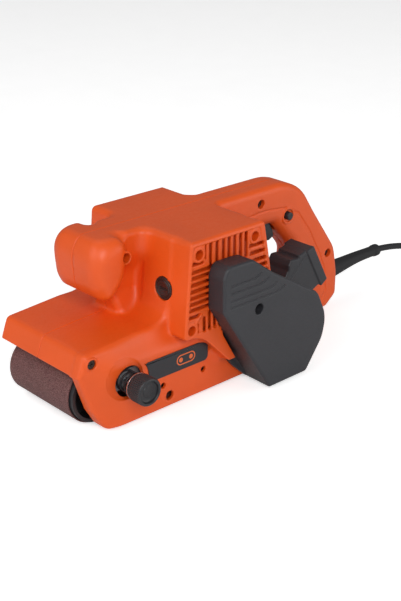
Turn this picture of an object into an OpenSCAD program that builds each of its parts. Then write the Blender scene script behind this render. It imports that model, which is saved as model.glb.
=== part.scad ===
// Handheld belt sander with a clamshell housing.
// X runs along the tool, front roller towards -X. +Z is up. Z = 0 is the work surface.
// Y = 0 is the parting plane of the clamshell. The drive side faces -Y.

/* [Sanding belt] */
// Width of the sanding belt
belt_w = 76; // [74:1:77]
// Distance between the two roller axes
wheelbase = 152; // [151:0.5:153]
// Height of the roller axes, which is also the belt's outer radius
axis_z = 24.6; // [24.4:0.1:24.8]

/* [Housing] */
// Thickness of the moulded walls
wall = 3; // [2.5:0.1:3.2]
// Height of the flat top of the housing
top_z = 137.6; // [137:0.1:139]
// Half the width of the D-handle
grip_half = 16; // [15.5:0.1:17]

/* [Motion] */
// Rearward travel of the tension slide
slide_travel = 5; // [4:0.5:5]

/* [Hidden] */
$fn = 64;
gap = 0.05;           // radial clearance of every fit
clear = 0.3;          // clearance between parts that pass each other
orange = "#DC5C26";
dark = "#3C3C40";
black = "#202022";
steel = "#B8BABE";

front_x = -wheelbase / 2;
rear_x = wheelbase / 2;
belt_mid_y = 3.6;
belt_y0 = belt_mid_y - belt_w / 2;
belt_y1 = belt_mid_y + belt_w / 2;
belt_t = 0.9;
belt_in_r = axis_z - belt_t;
roller_r = belt_in_r - clear;
crown = 0.5;

near_y = -72;         // face of the ventilation grille
panel_y = -60;        // face of the side panel
panel_in_y = -40.6;   // inner rim of the side panel
far_y = 49.5;         // far side of the housing
motor_x = 27;
motor_z = 95;
stator_r = 33;
brush_y = -44;
cover_y = -90;

knob_x = -61;
knob_z = 37.5;
yoke_pin_x = -24;
slide_z = 24.6;
lever_x = -10;
lever_y = 38;
lever_eccentric = slide_travel + 0.2;
trigger_x = 136;
trigger_z = 107;
slot_top = 106;       // top of the trigger's slot, inside the hollow grip
lock_x = 153;
lock_z = 107;
cord_z = 31.5;
belt_plane = -76;
driven_r = 16.5;
motor_pulley_r = 5;
drive_belt_t = 2;
cover_screw_x = 44.3;
cover_screw_z = 75.4;
screw_r = 2;
head_hole_r = 3.9;    // counterbore of a screw head
boss_r = 5.6;         // boss of a housing screw
cap_r = 9.3;          // brush cap
guard_r = 8;          // cord guard at its root
cord_r = 3;
knob_hole_r = 13;
dish_x = -66.5;       // dish in the side panel, running down to the knob's hole
dish_z = 42;
dish_r = 17.6;
dish_depth = 2.5;
lock_r = 3.5;
belt_reach = 27.3;    // inner radius of the hood round the drive roller
hood_r = 31;

// ---- helpers -----------------------------------------------------------------

// Extrudes a drawing in X and Z from y0 to y1.
module along_y(y0, y1)
    translate([0, y1, 0]) rotate([90, 0, 0]) linear_extrude(y1 - y0) children();

module rod_y(x, z, r, y0, y1)
    translate([x, y1, z]) rotate([90, 0, 0]) cylinder(r = r, h = y1 - y0);

module rod_x(y, z, r, x0, x1)
    translate([x0, y, z]) rotate([0, 90, 0]) cylinder(r = r, h = x1 - x0);

module ring_y(x, z, r_out, r_in, y0, y1) difference() {
    rod_y(x, z, r_out, y0, y1);
    rod_y(x, z, r_in, y0 - 1, y1 + 1);
}

module box(x0, x1, y0, y1, z0, z1)
    translate([x0, y0, z0]) cube([x1 - x0, y1 - y0, z1 - z0]);

function unit(v) = v / norm(v);
function signed(a) = a > 180 ? a - 360 : a < -180 ? a + 360 : a;

// Points of a round corner of radius r at c, between its neighbours p and q.
function round_corner(p, c, q, r, steps) = r == 0 ? [c] :
    let (a = unit(p - c), b = unit(q - c), half = acos(a * b) / 2,
         mid = c + unit(a + b) * (r / sin(half)),
         s = c + a * (r / tan(half)) - mid, e = c + b * (r / tan(half)) - mid,
         a0 = atan2(s.y, s.x), turn = signed(atan2(e.y, e.x) - a0))
    [for (i = [0 : steps]) mid + r * [cos(a0 + turn * i / steps), sin(a0 + turn * i / steps)]];

// Outline through corners given as [x, z, corner radius].
function outline(pts, steps = 4) = let (n = len(pts))
    [for (i = [0 : n - 1]) let (p = pts[(i + n - 1) % n], c = pts[i], q = pts[(i + 1) % n])
        each round_corner([p.x, p.y], [c.x, c.y], [q.x, q.y], c.z, steps)];

// The same corners moved inwards by d, for corners listed counter-clockwise.
function inset(pts, d) = let (n = len(pts))
    [for (i = [0 : n - 1]) let (p = pts[(i + n - 1) % n], c = pts[i], q = pts[(i + 1) % n],
        a = unit([c.x - p.x, c.y - p.y]), b = unit([q.x - c.x, q.y - c.y]),
        na = [-a.y, a.x], nb = [-b.y, b.x], m = unit(na + nb), k = d / (m * na))
        [c.x + m.x * k, c.y + m.y * k, max(c.z - d, 0)]];

module shape(pts, d = 0) polygon(outline(inset(pts, d)));

// Coil spring along +Z as one closed tube, its end rings included.
module coil(r, wire, length, turns, per_turn = 12, sides = 6) {
    steps = turns * per_turn;
    points = [for (i = [0 : steps], j = [0 : sides - 1])
        let (a = 360 * i / per_turn, b = 360 * j / sides, q = r + wire * cos(b))
        [q * cos(a), q * sin(a), wire + (length - 2 * wire) * i / steps + wire * sin(b)]];
    faces = [for (i = [0 : steps - 1], j = [0 : sides - 1])
        let (k = (j + 1) % sides, a = i * sides, b = a + sides)
        each [[a + j, a + k, b + k], [a + j, b + k, b + j]]];
    first = [[for (j = [sides - 1 : -1 : 0]) j]];
    last = [[for (j = [0 : sides - 1]) steps * sides + j]];
    polyhedron(points, concat(faces, first, last), convexity = 6);
}

// ---- outlines in X and Z, counter-clockwise, as [x, z, corner radius] -------------------

block_pts = [[-16.5, 52, 0], [83.5, 52, 0], [82, 62, 3], [67, top_z, 6], [-9.5, top_z, 6],
    [-16, 62, 3]];
grille_pts = [[-16, 60, 3], [82, 60, 3], [67, top_z, 6], [-9.5, top_z, 6]];
deck_pts = [[-102.4, 49.5, 0], [-13, 49.5, 0], [-13, 84, 0], [-24, 73.5, 8], [-46, 70, 0],
    [-96, 66.6, 4]];
panel_pts = [[-91.9, 19.7, 4], [-82, 2.6, 8], [112, 2.6, 6], [112, 30, 12], [98, 52, 4],
    [84, 62, 0], [-20, 70, 0], [-96, 66.6, 3], [-102.2, 50.6, 2]];
handle_pts = [[104, 3.5, 0], [210, 3.5, 8], [224, 14, 8], [224.5, 36, 10], [219, 62, 10],
    [188, 104, 16], [174, 127, 16], [152, top_z, 24], [40, top_z, 0], [60, 56, 0], [100, 50, 0]];
opening_pts = [[80, 66, 8], [104, 52, 8], [158, 51, 12], [173, 62, 12], [159, 79.5, 20],
    [137, 102, 6], [76.5, 102, 5]];
trigger_pts = [[104.5, 96, 4], [112, 91, 4], [126, 92.5, 6], [134, 86.3, 3], [139, 85.2, 2],
    [145, 88.3, 2], [143.5, 94, 3], [140.5, 99, 0], [139, 109, 2], [133, 109.5, 1],
    [131, 105.5, 0], [104.5, 105.5, 1]];
// Foot of the belt cover below the grille
skirt_pts = [[34.2, 28.5, 0], [40.5, 19.3, 0], [57, 3.9, 0], [60, 3.9, 0], [44, 30, 0]];
nose_pts = [[-2, 60, 0], [-2, top_z, 0], [-50, top_z, 6], [-62, 131.5, 8], [-68.2, 119, 8],
    [-66, 102, 8], [-55, 89, 6], [-42, 84, 4], [-34, 66, 0]];
cover_pts = [[58.5, 2.7, 2], [101, 2.9, 4], [119.5, 28, 22], [123.5, 46, 26], [112, 70, 16],
    [60.4, 100.7, 0], [37, 117.5, 6], [11, 118, 7], [7, 109, 5], [7, 82, 5], [30.7, 45.6, 0]];
// Plan view of the nose and its finger necks, near side first.
nose_plan = [[-68.2, -31, 14], [-40, -31, 4], [-34, -27, 4], [-27, -18.5, 8],
    [-14, -18.5, 8], [-2, -40, 0], [-2, 40, 0], [-14, 18.5, 8], [-27, 18.5, 8], [-34, 27, 4],
    [-40, 31, 4], [-68.2, 31, 14]];

house_screws = [[-91, 59.5, -50], [-37, 121.4, -14], [-1.9, 126.7, -24], [56.4, 127.3, -24],
    [-9.5, 67.3, -24], [119.7, 124.7, -10], [207.3, 58.4, -10], [128, 40, -10]];
panel_screws = [[-28.7, 22.9], [13.1, 22.9], [-22.2, 12.5]];

// Dust duct, between duct_y0 and duct_y1
duct_y0 = -52;
duct_y1 = -27;
duct_pts = [[106, 30, 0], [156.8, 52.8, 0], [137, 87.4, 1], [119.5, 84, 4], [116.8, 75.5, 3],
    [100, 50, 0]];

// ---- housing ----------------------------------------------------------------------------

module belt_hood_2d(d) {
    shape(deck_pts, d);
    translate([rear_x, axis_z]) difference() {
        circle(r = hood_r - d);
        translate([-40, -60]) square([80, 46]);
    }
}

// Space that the sanding belt and its rollers need.
module belt_space_2d() {
    translate([front_x - 28, -10]) square([wheelbase + 28, axis_z + 37.3]);
    translate([rear_x, axis_z]) circle(r = belt_reach);
    translate([front_x - 24, -10]) square([wheelbase + 47, 16]);
}

module housing_form(d) {
    along_y(panel_y + 3 + d, far_y - d) belt_hood_2d(d);
    along_y(panel_y + d, far_y - d) shape(block_pts, d);
    along_y(near_y + d, -20) shape(grille_pts, d);
    along_y(-grip_half + d, grip_half - d) difference() {
        shape(handle_pts, d);
        shape(opening_pts, -d);
    }
    intersection() {
        along_y(-40 + d, 40 - d) shape(nose_pts, d);
        linear_extrude(160) shape(nose_plan, d);
    }
}

module belt_tunnel(y0, y1) along_y(y0, y1) intersection() {
    belt_space_2d();
    translate([-110, -20]) square([220, 72]);
}

module shell() {
    difference() {
        housing_form(0);
        housing_form(wall);
        belt_tunnel(-57, far_y + 1);
    }
    // Floor over the belt
    box(-13, rear_x, -57, far_y - wall, 52, 54.5);
    // Saddles that hold the stator
    for (y = [-24, -8, 4]) along_y(y, y + 4) difference() {
        shape(block_pts, wall - 0.5);
        translate([motor_x, motor_z]) circle(r = stator_r + gap);
    }
}

module panel() difference() {
    along_y(panel_y, panel_in_y) shape(panel_pts);
    along_y(panel_y + wall, panel_in_y + 1) shape(panel_pts, wall);
    along_y(panel_y + wall, panel_in_y + 1) translate([rear_x, axis_z]) circle(r = belt_reach);
}

// Slot through the grille's wall
module grille_slot(x0, x1, z0, z1) box(x0, x1, near_y - 1, near_y + wall + 1, z0, z1);

// Slots of the ventilation grille: uprights above and below, bars left and right.
module grille_slots() {
    width = 3;
    for (x = [8.9 : 6.2 : 47]) grille_slot(x, x + width, 112, 133.5);
    for (x = [2.6 : 5.4 : 25]) grille_slot(x, x + width, 62.6, x < 5 ? 75 : 79);
    for (i = [0 : 8]) let (z = 76.3 + i * 5.2, left = -12.6 + i * 0.45)
        grille_slot(left, i == 0 ? 0.5 : i == 8 ? 3 : 10, z, z + width);
    for (i = [0 : 7]) let (z = 77.5 + i * 5.8)
        grille_slot(64 - i * 2, 75 - i * 1.2, z, z + width);
}

// Exhaust slots of the far wall, opposite the fan.
module exhaust_slots() for (i = [0 : 6])
    box(2 + i * 7.5, 5.4 + i * 7.5, far_y - wall - 1, far_y + 1, 80, 112);

// Bosses of the housing screws from y0 to y1, cut off inside the outer walls.
module screw_bosses(y0, y1) intersection() {
    for (s = house_screws) rod_y(s.x, s.y, boss_r, y0, y1);
    housing_form(0.5);
}

module left_housing() color(orange) difference() {
    union() {
        intersection() {
            shell();
            box(-110, 240, -100, -gap, 0, 150);
        }
        panel();
        screw_bosses(near_y, -gap);
        rod_y(knob_x, knob_z, dish_r, panel_y + 1, panel_y + wall + 2);
        for (s = panel_screws) rod_y(s.x, s.y, 5, panel_y + 1, -48.2);
        rod_y(cover_screw_x, cover_screw_z, 5, near_y + 1, -58);
        // Wedge that carries the grille's foot down to the belt cover
        along_y(near_y, panel_y + 1) polygon([[2, 61], [19, 61], [36, 33.5], [31, 33.5]]);
        intersection() {
            box(199, 207, -grip_half + 2, -gap, 5, cord_z);
            housing_form(0.5);
        }
    }
    grille_slots();
    for (s = house_screws) {
        rod_y(s.x, s.y, head_hole_r, -100, s.z);
        rod_y(s.x, s.y, screw_r + gap, -100, 1);
    }
    for (s = panel_screws) {
        rod_y(s.x, s.y, head_hole_r, -70, -54);
        rod_y(s.x, s.y, screw_r + gap, -70, -40);
    }
    rod_y(cover_screw_x, cover_screw_z, screw_r + gap, -80, -57);
    rod_y(rear_x, axis_z, 14, -70, -56);
    rod_y(motor_x, motor_z, 12, -80, -66);
    // Dish and hole of the tracking knob
    hull() {
        rod_y(dish_x, dish_z, dish_r, panel_y - 0.02, panel_y);
        rod_y(knob_x, knob_z, knob_hole_r, panel_y, panel_y + dish_depth);
    }
    rod_y(knob_x, knob_z, knob_hole_r, -70, -50);
    rod_x(brush_y, motor_z, cap_r + gap, -20, 10);
    rod_x(brush_y, motor_z, cap_r + gap, 60, 90);
    rod_x(0, cord_z, guard_r + gap, 219, 230);
    rod_x(0, cord_z, cord_r + gap, 190, 219);
    rod_y(lock_x, lock_z, lock_r + gap, -30, -10);
    rod_y(lock_x, lock_z, 5.6, -30, -15);
    box(103, 145, -8.5, 1, 90, slot_top);
    difference() {
        along_y(duct_y0 - gap, duct_y1 + gap) shape(duct_pts, -gap);
        rod_y(rear_x, axis_z, hood_r, -60, 0);
    }
    // Window between the dust chamber and the duct
    box(90, 112, -49.5, -29.5, 28, 46);
}

module right_housing() color(orange) difference() {
    union() {
        intersection() {
            shell();
            box(-110, 240, gap, 100, 0, 150);
        }
        screw_bosses(gap, far_y);
        ring_y(motor_x, motor_z, 14, 11 + gap, 34, far_y - 1);
        rod_y(lock_x, lock_z, 4.5, 4, grip_half - 1);
        intersection() {
            box(199, 207, gap, grip_half - 2, 5, cord_z);
            housing_form(0.5);
        }
    }
    exhaust_slots();
    for (s = house_screws) rod_y(s.x, s.y, screw_r + gap, -1, 10.5);
    rod_x(0, cord_z, guard_r + gap, 219, 230);
    rod_x(0, cord_z, cord_r + gap, 190, 219);
    box(103, 145, -1, 8.5, 90, slot_top);
}

// Pan-head screw along +Y, its head towards -Y.
module screw_y(x, z, head_y, tip_y, head_r = 3.6, shank_r = screw_r) difference() {
    union() {
        rod_y(x, z, head_r, head_y - 2.4, head_y);
        rod_y(x, z, shank_r, head_y - 0.5, tip_y);
    }
    box(x - 2, x + 2, head_y - 3, head_y - 1.2, z - 0.5, z + 0.5);
    box(x - 0.5, x + 0.5, head_y - 3, head_y - 1.2, z - 2, z + 2);
}

module housing_screws() color(steel)
    for (s = house_screws) screw_y(s.x, s.y, s.z - gap, 10);

module frame_screws() color(steel)
    for (s = panel_screws) screw_y(s.x, s.y, -54 - gap, -40.5);

// ---- base frame, sole and sanding belt -----------------------------------------------------

module base_frame() color("#8E9094") difference() {
    union() {
        box(-38, 50, panel_in_y + 0.1, 37, 4, 44);
        along_y(-48, -40) union() {
            shape([[-38, 6.2, 2], [76, 6.2, 2], [76, 44, 2], [-38, 44, 2]]);
            translate([rear_x, axis_z]) circle(r = 17.5);
        }
        box(-70, -36, -53, -48, 30, 45);
        box(-40, -36, -53, -40, 30, 44);
        // Far arm of the drive roller, joined to the frame above the lever's room
        box(44, 50, 36, 47.4, 14, 44);
        box(40, 50, 36, 47.4, 37.5, 44);
        box(46, 84, 43.4, 47.4, 14, 36);
    }
    // Channel of the yoke's ears, guide of the tension slide and room for its spring
    box(-39, -6, -13, 21, 12.5, 37);
    box(-7, 34, -4.6, 11.8, 18.2, 31);
    // Room of the slide's arm and of the lever
    box(-18, 10, -1, 38, 18.2, 31);
    box(-30, 52, 31, 38, 14, 36);
    box(-22, 46, 30, 38, 12, 37.5);
    // Lightening pockets
    box(0, 44, -34, -8, 10, 45);
    rod_y(rear_x, axis_z, 13 + gap, -49, -39);
    rod_y(rear_x, axis_z, 8 + gap, 43, 48);
    rod_y(knob_x, knob_z, 3 + gap, -54, -47);
    for (s = panel_screws) rod_y(s.x, s.y, screw_r + gap, -49, -40);
    for (x = [-30, 40]) translate([x, belt_mid_y, 3]) cylinder(r = 1.5 + gap, h = 6);
    translate([lever_x, lever_y, 8]) cylinder(r = 3 + gap, h = 34);
}

module sole_plate() color(steel) difference() {
    box(-56, 56, belt_y0 + 1, belt_y1 - 1, 1.2, 2.2);
    for (x = [-30, 40]) translate([x, belt_mid_y, 0]) cylinder(r = 1.5 + gap, h = 5);
}

module sole_pad() color("#9A7A52") difference() {
    box(-54, 54, belt_y0 + 2, belt_y1 - 2, 2.25, 3.9);
    for (x = [-30, 40]) translate([x, belt_mid_y, 0]) cylinder(r = 1.5 + gap, h = 5);
}

module sole_rivets() color(steel) for (x = [-30, 40]) translate([x, belt_mid_y, 1.3])
    cylinder(r = 1.5, h = 7);

module belt_loop(r) {
    translate([front_x, axis_z - r]) square([wheelbase, 2 * r]);
    for (x = [front_x, rear_x]) translate([x, axis_z]) circle(r = r, $fn = 96);
}

module sanding_belt() color("#69464A") along_y(belt_y0, belt_y1) difference() {
    belt_loop(axis_z);
    belt_loop(belt_in_r);
}

// ---- front roller, fork, tension and tracking -------------------------------------------------

roller_y0 = -38;
roller_y1 = 42.4;
module front_roller() color(black) translate([front_x, roller_y1, axis_z]) rotate([90, 0, 0])
    rotate_extrude($fn = 96) {
        length = roller_y1 - roller_y0;
        polygon([[8 + gap, 14], [8 + gap, length - 14], [20, length - 14], [20, length],
            [roller_r - crown, length], [roller_r, length * 0.6], [roller_r, length * 0.4],
            [roller_r - crown, 0], [20, 0], [20, 14]]);
    }

module front_bushes() color("#B08A50") for (y = [roller_y0 + 12, roller_y1 - 26])
    ring_y(front_x, axis_z, 8, 4 + gap, y, y + 14);

module front_axle() color(steel) rod_y(front_x, axis_z, 4, -43.4, 47.9);

module axle_clips() color(steel) {
    ring_y(front_x, axis_z, 6, 4 + gap, -42.9, -41.9);
    ring_y(front_x, axis_z, 6, 4 + gap, 46.5, 47.5);
}

module front_yoke() color(steel) difference() {
    union() {
        for (y = [-41.8, 43.4]) along_y(y, y + 3) union() {
            translate([front_x, axis_z]) circle(r = 8);
            translate([front_x, axis_z - 8]) square([29, 16]);
        }
        // Pad that the tracking screw presses on
        along_y(-41.8, -38.8) shape([[-66, 24, 3], [-47, 24, 0], [-47, 43, 3], [-66, 43, 3]]);
        box(-49.8, -46.8, -41.8, 46.4, 16.6, 32.6);
        box(-50, -40, -4.4, 11.6, 14.4, 34.8);
        for (z = [14.4, 31.2]) {
            box(-44, yoke_pin_x, belt_mid_y - 6, belt_mid_y + 6, z, z + 3.6);
            translate([yoke_pin_x, belt_mid_y, z]) cylinder(r = 6, h = 3.6);
        }
    }
    box(-38, -10, -10, 20, 18, 31.2);
    rod_y(front_x, axis_z, 4 + gap, -50, 60);
    translate([yoke_pin_x, belt_mid_y, 10]) cylinder(r = 3 + gap, h = 30);
}

module yoke_pin() color(steel) translate([yoke_pin_x, belt_mid_y, 13.5]) cylinder(r = 3, h = 22);

module tension_slide() color("#9A9DA2") difference() {
    union() {
        box(-32, 10, -4.4, 11.6, 18.4, 30.8);
        box(-5.5, 0, 11, 34, 18.4, 30.8);
    }
    translate([yoke_pin_x, belt_mid_y, 10]) cylinder(r = 3 + gap, h = 30);
}

module tension_spring() color(steel) translate([10.4, belt_mid_y, slide_z])
    rotate([0, 90, 0]) coil(4.6, 0.7, 23.2, 7);

// Release lever. Its eccentric nose draws the slide back when it is pulled out sideways.
module tension_lever() color(black) difference() {
    union() {
        translate([lever_x, lever_y, 18.5]) cylinder(r = 5, h = 12.2);
        translate([lever_x, lever_y - lever_eccentric, 18.5]) cylinder(r = 3, h = 12.2);
        box(lever_x, 42, 38.5, 42.8, 18.5, 30.7);
        box(22, 43, 42, 45.5, 18.5, 30.7);
    }
    translate([lever_x, lever_y, 8]) cylinder(r = 3 + gap, h = 34);
}

module lever_pin() color(steel) translate([lever_x, lever_y, 9]) cylinder(r = 3, h = 32);

module tracking_knob() color(black) difference() {
    rod_y(knob_x, knob_z, 11.25, -83, -69.1);
    rod_y(knob_x, knob_z, 8.6, -84, -80);
    rod_y(knob_x, knob_z, 3 + gap, -79, -69);
}

module tracking_screw() color(steel) rod_y(knob_x, knob_z, 3, -78.8, -42.2);

module tracking_washer() color("#C8CACC") ring_y(knob_x, knob_z, 10.6, 3 + gap, -69, -68);

module tracking_spring() color(black) translate([knob_x, -53.1, knob_z]) rotate([90, 0, 0])
    coil(8, 0.85, 14.8, 4, 16);

// ---- drive ---------------------------------------------------------------------------------

module roller_core() color("#9A9DA2") ring_y(rear_x, axis_z, 20, 5 + gap, -36, 42.4);

module roller_sleeve() color(black) ring_y(rear_x, axis_z, roller_r, 20 + gap, -36, 42.4);

module drive_shaft() color(steel) {
    rod_y(rear_x, axis_z, 5, -84.5, 42.6);
    rod_y(rear_x, axis_z, 4, 42.5, 47.6);
}

module drive_bearing() color("#A8AAAE") ring_y(rear_x, axis_z, 13, 5 + gap, -47.9, -40.1);

module end_bearing() color("#A8AAAE") ring_y(rear_x, axis_z, 8, 4 + gap, 43.5, 47.3);

// Ribbed pulley: v grooves run round its rim.
module ribbed_pulley(x, z, rim_r, bore_r, hub_y, grooves = 4) color("#5A5C60")
    translate([x, belt_plane + 5, z]) rotate([90, 0, 0]) rotate_extrude($fn = 96) {
        half = grooves;
        teeth = [for (i = [0 : grooves - 1]) each [[rim_r, 1 + i * 2], [rim_r - 0.9, 2 + i * 2]]];
        polygon(concat([[bore_r + gap, hub_y], [rim_r, hub_y]], teeth,
            [[rim_r, 1 + 2 * half], [rim_r + 1.4, 1.4 + 2 * half], [rim_r + 1.4, 2.4 + 2 * half],
             [bore_r + gap, 2.4 + 2 * half]]));
    }

module driven_pulley() ribbed_pulley(rear_x, axis_z, driven_r, 5, -4);

module motor_pulley() ribbed_pulley(motor_x, motor_z, motor_pulley_r, 3, 0);

// Outline of the drive belt around both pulleys, grown by d.
module drive_belt_2d(d) hull() {
    translate([motor_x, motor_z]) circle(r = motor_pulley_r + d);
    translate([rear_x, axis_z]) circle(r = driven_r + d);
}

module drive_belt() color(black) along_y(belt_plane - 4, belt_plane + 4) difference() {
    drive_belt_2d(0.2 + drive_belt_t);
    drive_belt_2d(0.2);
}

module cover_back() {
    along_y(near_y, 0) union() {
        shape(grille_pts, -gap);
        polygon([[-20, 200], [140, 200], [140, 61], [-20, 61]]);
    }
    along_y(panel_y - gap, 0) square([400, 400], center = true);
    along_y(near_y - gap, 0) polygon([[0, 61.05], [19.05, 61.05], [36.05, 33.45], [30, 33.45]]);
}

module belt_cover() color(dark) difference() {
    union() {
        difference() {
            along_y(cover_y, panel_y - gap) shape(cover_pts);
            along_y(cover_y + 2.5, panel_y) shape(cover_pts, 2.4);
        }
        rod_y(cover_screw_x, cover_screw_z, 5.1, cover_y + 1, near_y - gap);
        along_y(-64, panel_y - gap) shape(skirt_pts);
    }
    cover_back();
    rod_y(cover_screw_x, cover_screw_z, 4.2, cover_y - 1, -80);
    rod_y(cover_screw_x, cover_screw_z, screw_r + gap, cover_y - 1, near_y + 1);
}

module cover_screw() color(steel)
    screw_y(cover_screw_x, cover_screw_z, -80 - gap, -62);

// ---- motor ----------------------------------------------------------------------------------

module armature_shaft() color(steel) {
    rod_y(motor_x, motor_z, 4, -62.5, 43.5);
    rod_y(motor_x, motor_z, 3, -83, -62);
}

module armature_core() color("#6A6C70") difference() {
    rod_y(motor_x, motor_z, 17, -28, 10);
    rod_y(motor_x, motor_z, 4 + gap, -29, 11);
    translate([motor_x, 0, motor_z]) for (i = [0 : 11]) rotate([0, i * 30, 0])
        box(12, 18, -29, 11, -0.8, 0.8);
}

module armature_windings() color("#A55A2A") {
    ring_y(motor_x, motor_z, 15, 4 + gap, -35.5, -28.1);
    ring_y(motor_x, motor_z, 15, 4 + gap, 10.1, 17.5);
}

module commutator() color("#B87333") difference() {
    rod_y(motor_x, motor_z, 12, -51, -36);
    rod_y(motor_x, motor_z, 4 + gap, -52, -35);
    translate([motor_x, 0, motor_z]) for (i = [0 : 11]) rotate([0, i * 30, 0])
        box(11, 13, -52, -39, -0.3, 0.3);
}

module motor_fan() color("#D8D4C8") difference() {
    union() {
        rod_y(motor_x, motor_z, 30, 20, 22);
        rod_y(motor_x, motor_z, 8, 20, 32);
        translate([motor_x, 0, motor_z]) for (i = [0 : 10]) rotate([0, i * 360 / 11, 0])
            box(7, 29, 21, 31, -0.9, 0.9);
    }
    rod_y(motor_x, motor_z, 4 + gap, 19, 33);
}

module motor_bearing_near() color("#A8AAAE") ring_y(motor_x, motor_z, 11, 4 + gap, -61, -54.5);

module motor_bearing_far() color("#A8AAAE") ring_y(motor_x, motor_z, 11, 4 + gap, 36, 43);

module bearing_bracket() color(orange) difference() {
    union() {
        rod_y(motor_x, motor_z, 20, -61.5, -58);
        rod_y(motor_x, motor_z, 14, -61.5, -54);
        box(-9, 68, -61.5, -58, 88, 102);
    }
    rod_y(motor_x, motor_z, 11 + gap, -70, -50);
}

// Sector of a ring in X and Z about the motor axis, between two angles.
module sector(r0, r1, from, to) polygon(concat(
    [for (i = [0 : 8]) r1 * [cos(from + (to - from) * i / 8), sin(from + (to - from) * i / 8)]],
    [for (i = [8 : -1 : 0]) r0 * [cos(from + (to - from) * i / 8), sin(from + (to - from) * i / 8)]]));

module stator_core() color("#85878B") translate([motor_x, 0, motor_z]) along_y(-28, 10)
    difference() {
        circle(r = stator_r, $fn = 96);
        circle(r = 18);
        for (a = [0, 180]) rotate(a) sector(17, 28, -48, 48);
    }

module field_windings() color("#B8683A") translate([motor_x, 0, motor_z]) along_y(-35, 17)
    for (a = [0, 180], s = [-1, 1]) rotate(a) sector(19, 27.5, s * 20, s * 46);

// ---- brush gear -----------------------------------------------------------------------------

module brush_side(x) translate([motor_x, brush_y, motor_z]) rotate([0, x < 0 ? 180 : 0, 0])
    children();

module brush_holders() color("#5C4630") for (s = [-1, 1]) brush_side(s) difference() {
    rod_x(0, 0, 7, 13.5, s < 0 ? 37 : 45);
    box(10, 50, -3.3, 3.3, -4.8, 4.8);
}

module carbon_brushes() color("#303030") for (s = [-1, 1]) brush_side(s)
    box(12.2, 28, -3.2, 3.2, -4.7, 4.7);

module brush_springs() color(steel) for (s = [-1, 1]) brush_side(s)
    translate([28.1, 0, 0]) rotate([0, 90, 0]) coil(2.3, 0.35, s < 0 ? 8.6 : 16.6, s < 0 ? 4 : 6, 10, 5);

module brush_caps() color(black) for (s = [-1, 1]) brush_side(s) difference() {
    rod_x(0, 0, cap_r, s < 0 ? 37.1 : 45.1, s < 0 ? 41.3 : 49.6);
    box(s < 0 ? 40 : 48, 52, -6.5, 6.5, -0.9, 0.9);
}

// ---- small parts of the outside ---------------------------------------------------------------

// Dust outlet: a rectangular duct that rises to the rear and ends in a thick rim.
module dust_duct() color(dark) difference() {
    union() {
        along_y(duct_y0, duct_y1) shape(duct_pts);
        along_y(duct_y0 - 1.2, duct_y1 + 1.2) polygon([[156.4, 50.4], [165.2, 56.2],
            [146.6, 90.8], [135.9, 87.7]]);
    }
    along_y(duct_y0 + 2.2, duct_y1 - 2.2) polygon([[96, 36], [108, 33], [156, 55.6],
        [170, 61.5], [152, 94], [137, 84], [121, 74.5], [96, 44]]);
    rod_y(rear_x, axis_z, hood_r + gap, -60, 0);
}

module label_plate() color(dark) difference() {
    along_y(panel_y - 0.8, panel_y - gap) shape([[-47.3, 31, 3], [17.3, 31, 4], [17.3, 48.2, 4],
        [-47.3, 48.2, 3]]);
    rod_y(knob_x, knob_z, 17.6, -65, -55);
}

module trigger() color(black) difference() {
    union() {
        along_y(-8, 8) shape(trigger_pts);
        rod_y(trigger_x, trigger_z, 4, -8, 8);
    }
    rod_y(trigger_x, trigger_z, 2 + gap, -9, 9);
}

module trigger_pin() color(steel) rod_y(trigger_x, trigger_z, 2, -12.9, 12.9);

module switch_body() color(black) {
    box(86, 112, -9, 9, 112.5, 130);
    rod_y(95, 121.5, 4, -11, 11);
}

module lock_button() color(black) {
    rod_y(lock_x, lock_z, lock_r, -19, -9.9);
    rod_y(lock_x, lock_z, 4.6, -9.95, -6);
}

module lock_spring() color(steel) translate([lock_x, 3.9, lock_z]) rotate([90, 0, 0])
    coil(2.6, 0.4, 9.8, 5, 10, 5);

module cord_guard() color(black) translate([0, 0, cord_z]) rotate([0, 90, 0])
    rotate_extrude() polygon([[3 + gap, 215], [9.5, 215], [9.5, 217.5], [8, 217.5], [8, 226],
        [5, 291], [6.5, 292], [6.5, 297], [5.5, 298], [3 + gap, 298]]);

module power_cord() color(black) rod_x(0, cord_z, cord_r, 190, 330);

module cord_clamp() color("#D8D4C8") difference() {
    box(199.5, 206.5, -10, 10, cord_z + gap, 37.5);
    rod_x(0, cord_z, cord_r + gap, 190, 215);
    for (y = [-6.8, 6.8]) translate([203, y, 20]) cylinder(r = 1.5 + gap, h = 30);
}

module clamp_screws() color(steel) for (y = [-6.8, 6.8]) translate([203, y, 0]) {
    translate([0, 0, cord_z + gap]) cylinder(r = 1.5, h = 6.2);
    translate([0, 0, 37.6]) cylinder(r = 2.8, h = 2);
}

left_housing();
right_housing();
housing_screws();
frame_screws();
base_frame();
sole_plate();
sole_pad();
sole_rivets();
sanding_belt();
front_roller();
front_bushes();
front_axle();
axle_clips();
front_yoke();
yoke_pin();
tension_slide();
tension_spring();
tension_lever();
lever_pin();
tracking_knob();
tracking_screw();
tracking_washer();
tracking_spring();
roller_core();
roller_sleeve();
drive_shaft();
drive_bearing();
end_bearing();
driven_pulley();
drive_belt();
motor_pulley();
belt_cover();
cover_screw();
armature_shaft();
armature_core();
armature_windings();
commutator();
motor_fan();
motor_bearing_near();
motor_bearing_far();
bearing_bracket();
stator_core();
field_windings();
brush_holders();
carbon_brushes();
brush_springs();
brush_caps();
dust_duct();
label_plate();
trigger();
trigger_pin();
switch_body();
lock_button();
lock_spring();
cord_guard();
power_cord();
cord_clamp();
clamp_screws();
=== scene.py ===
import math

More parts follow.
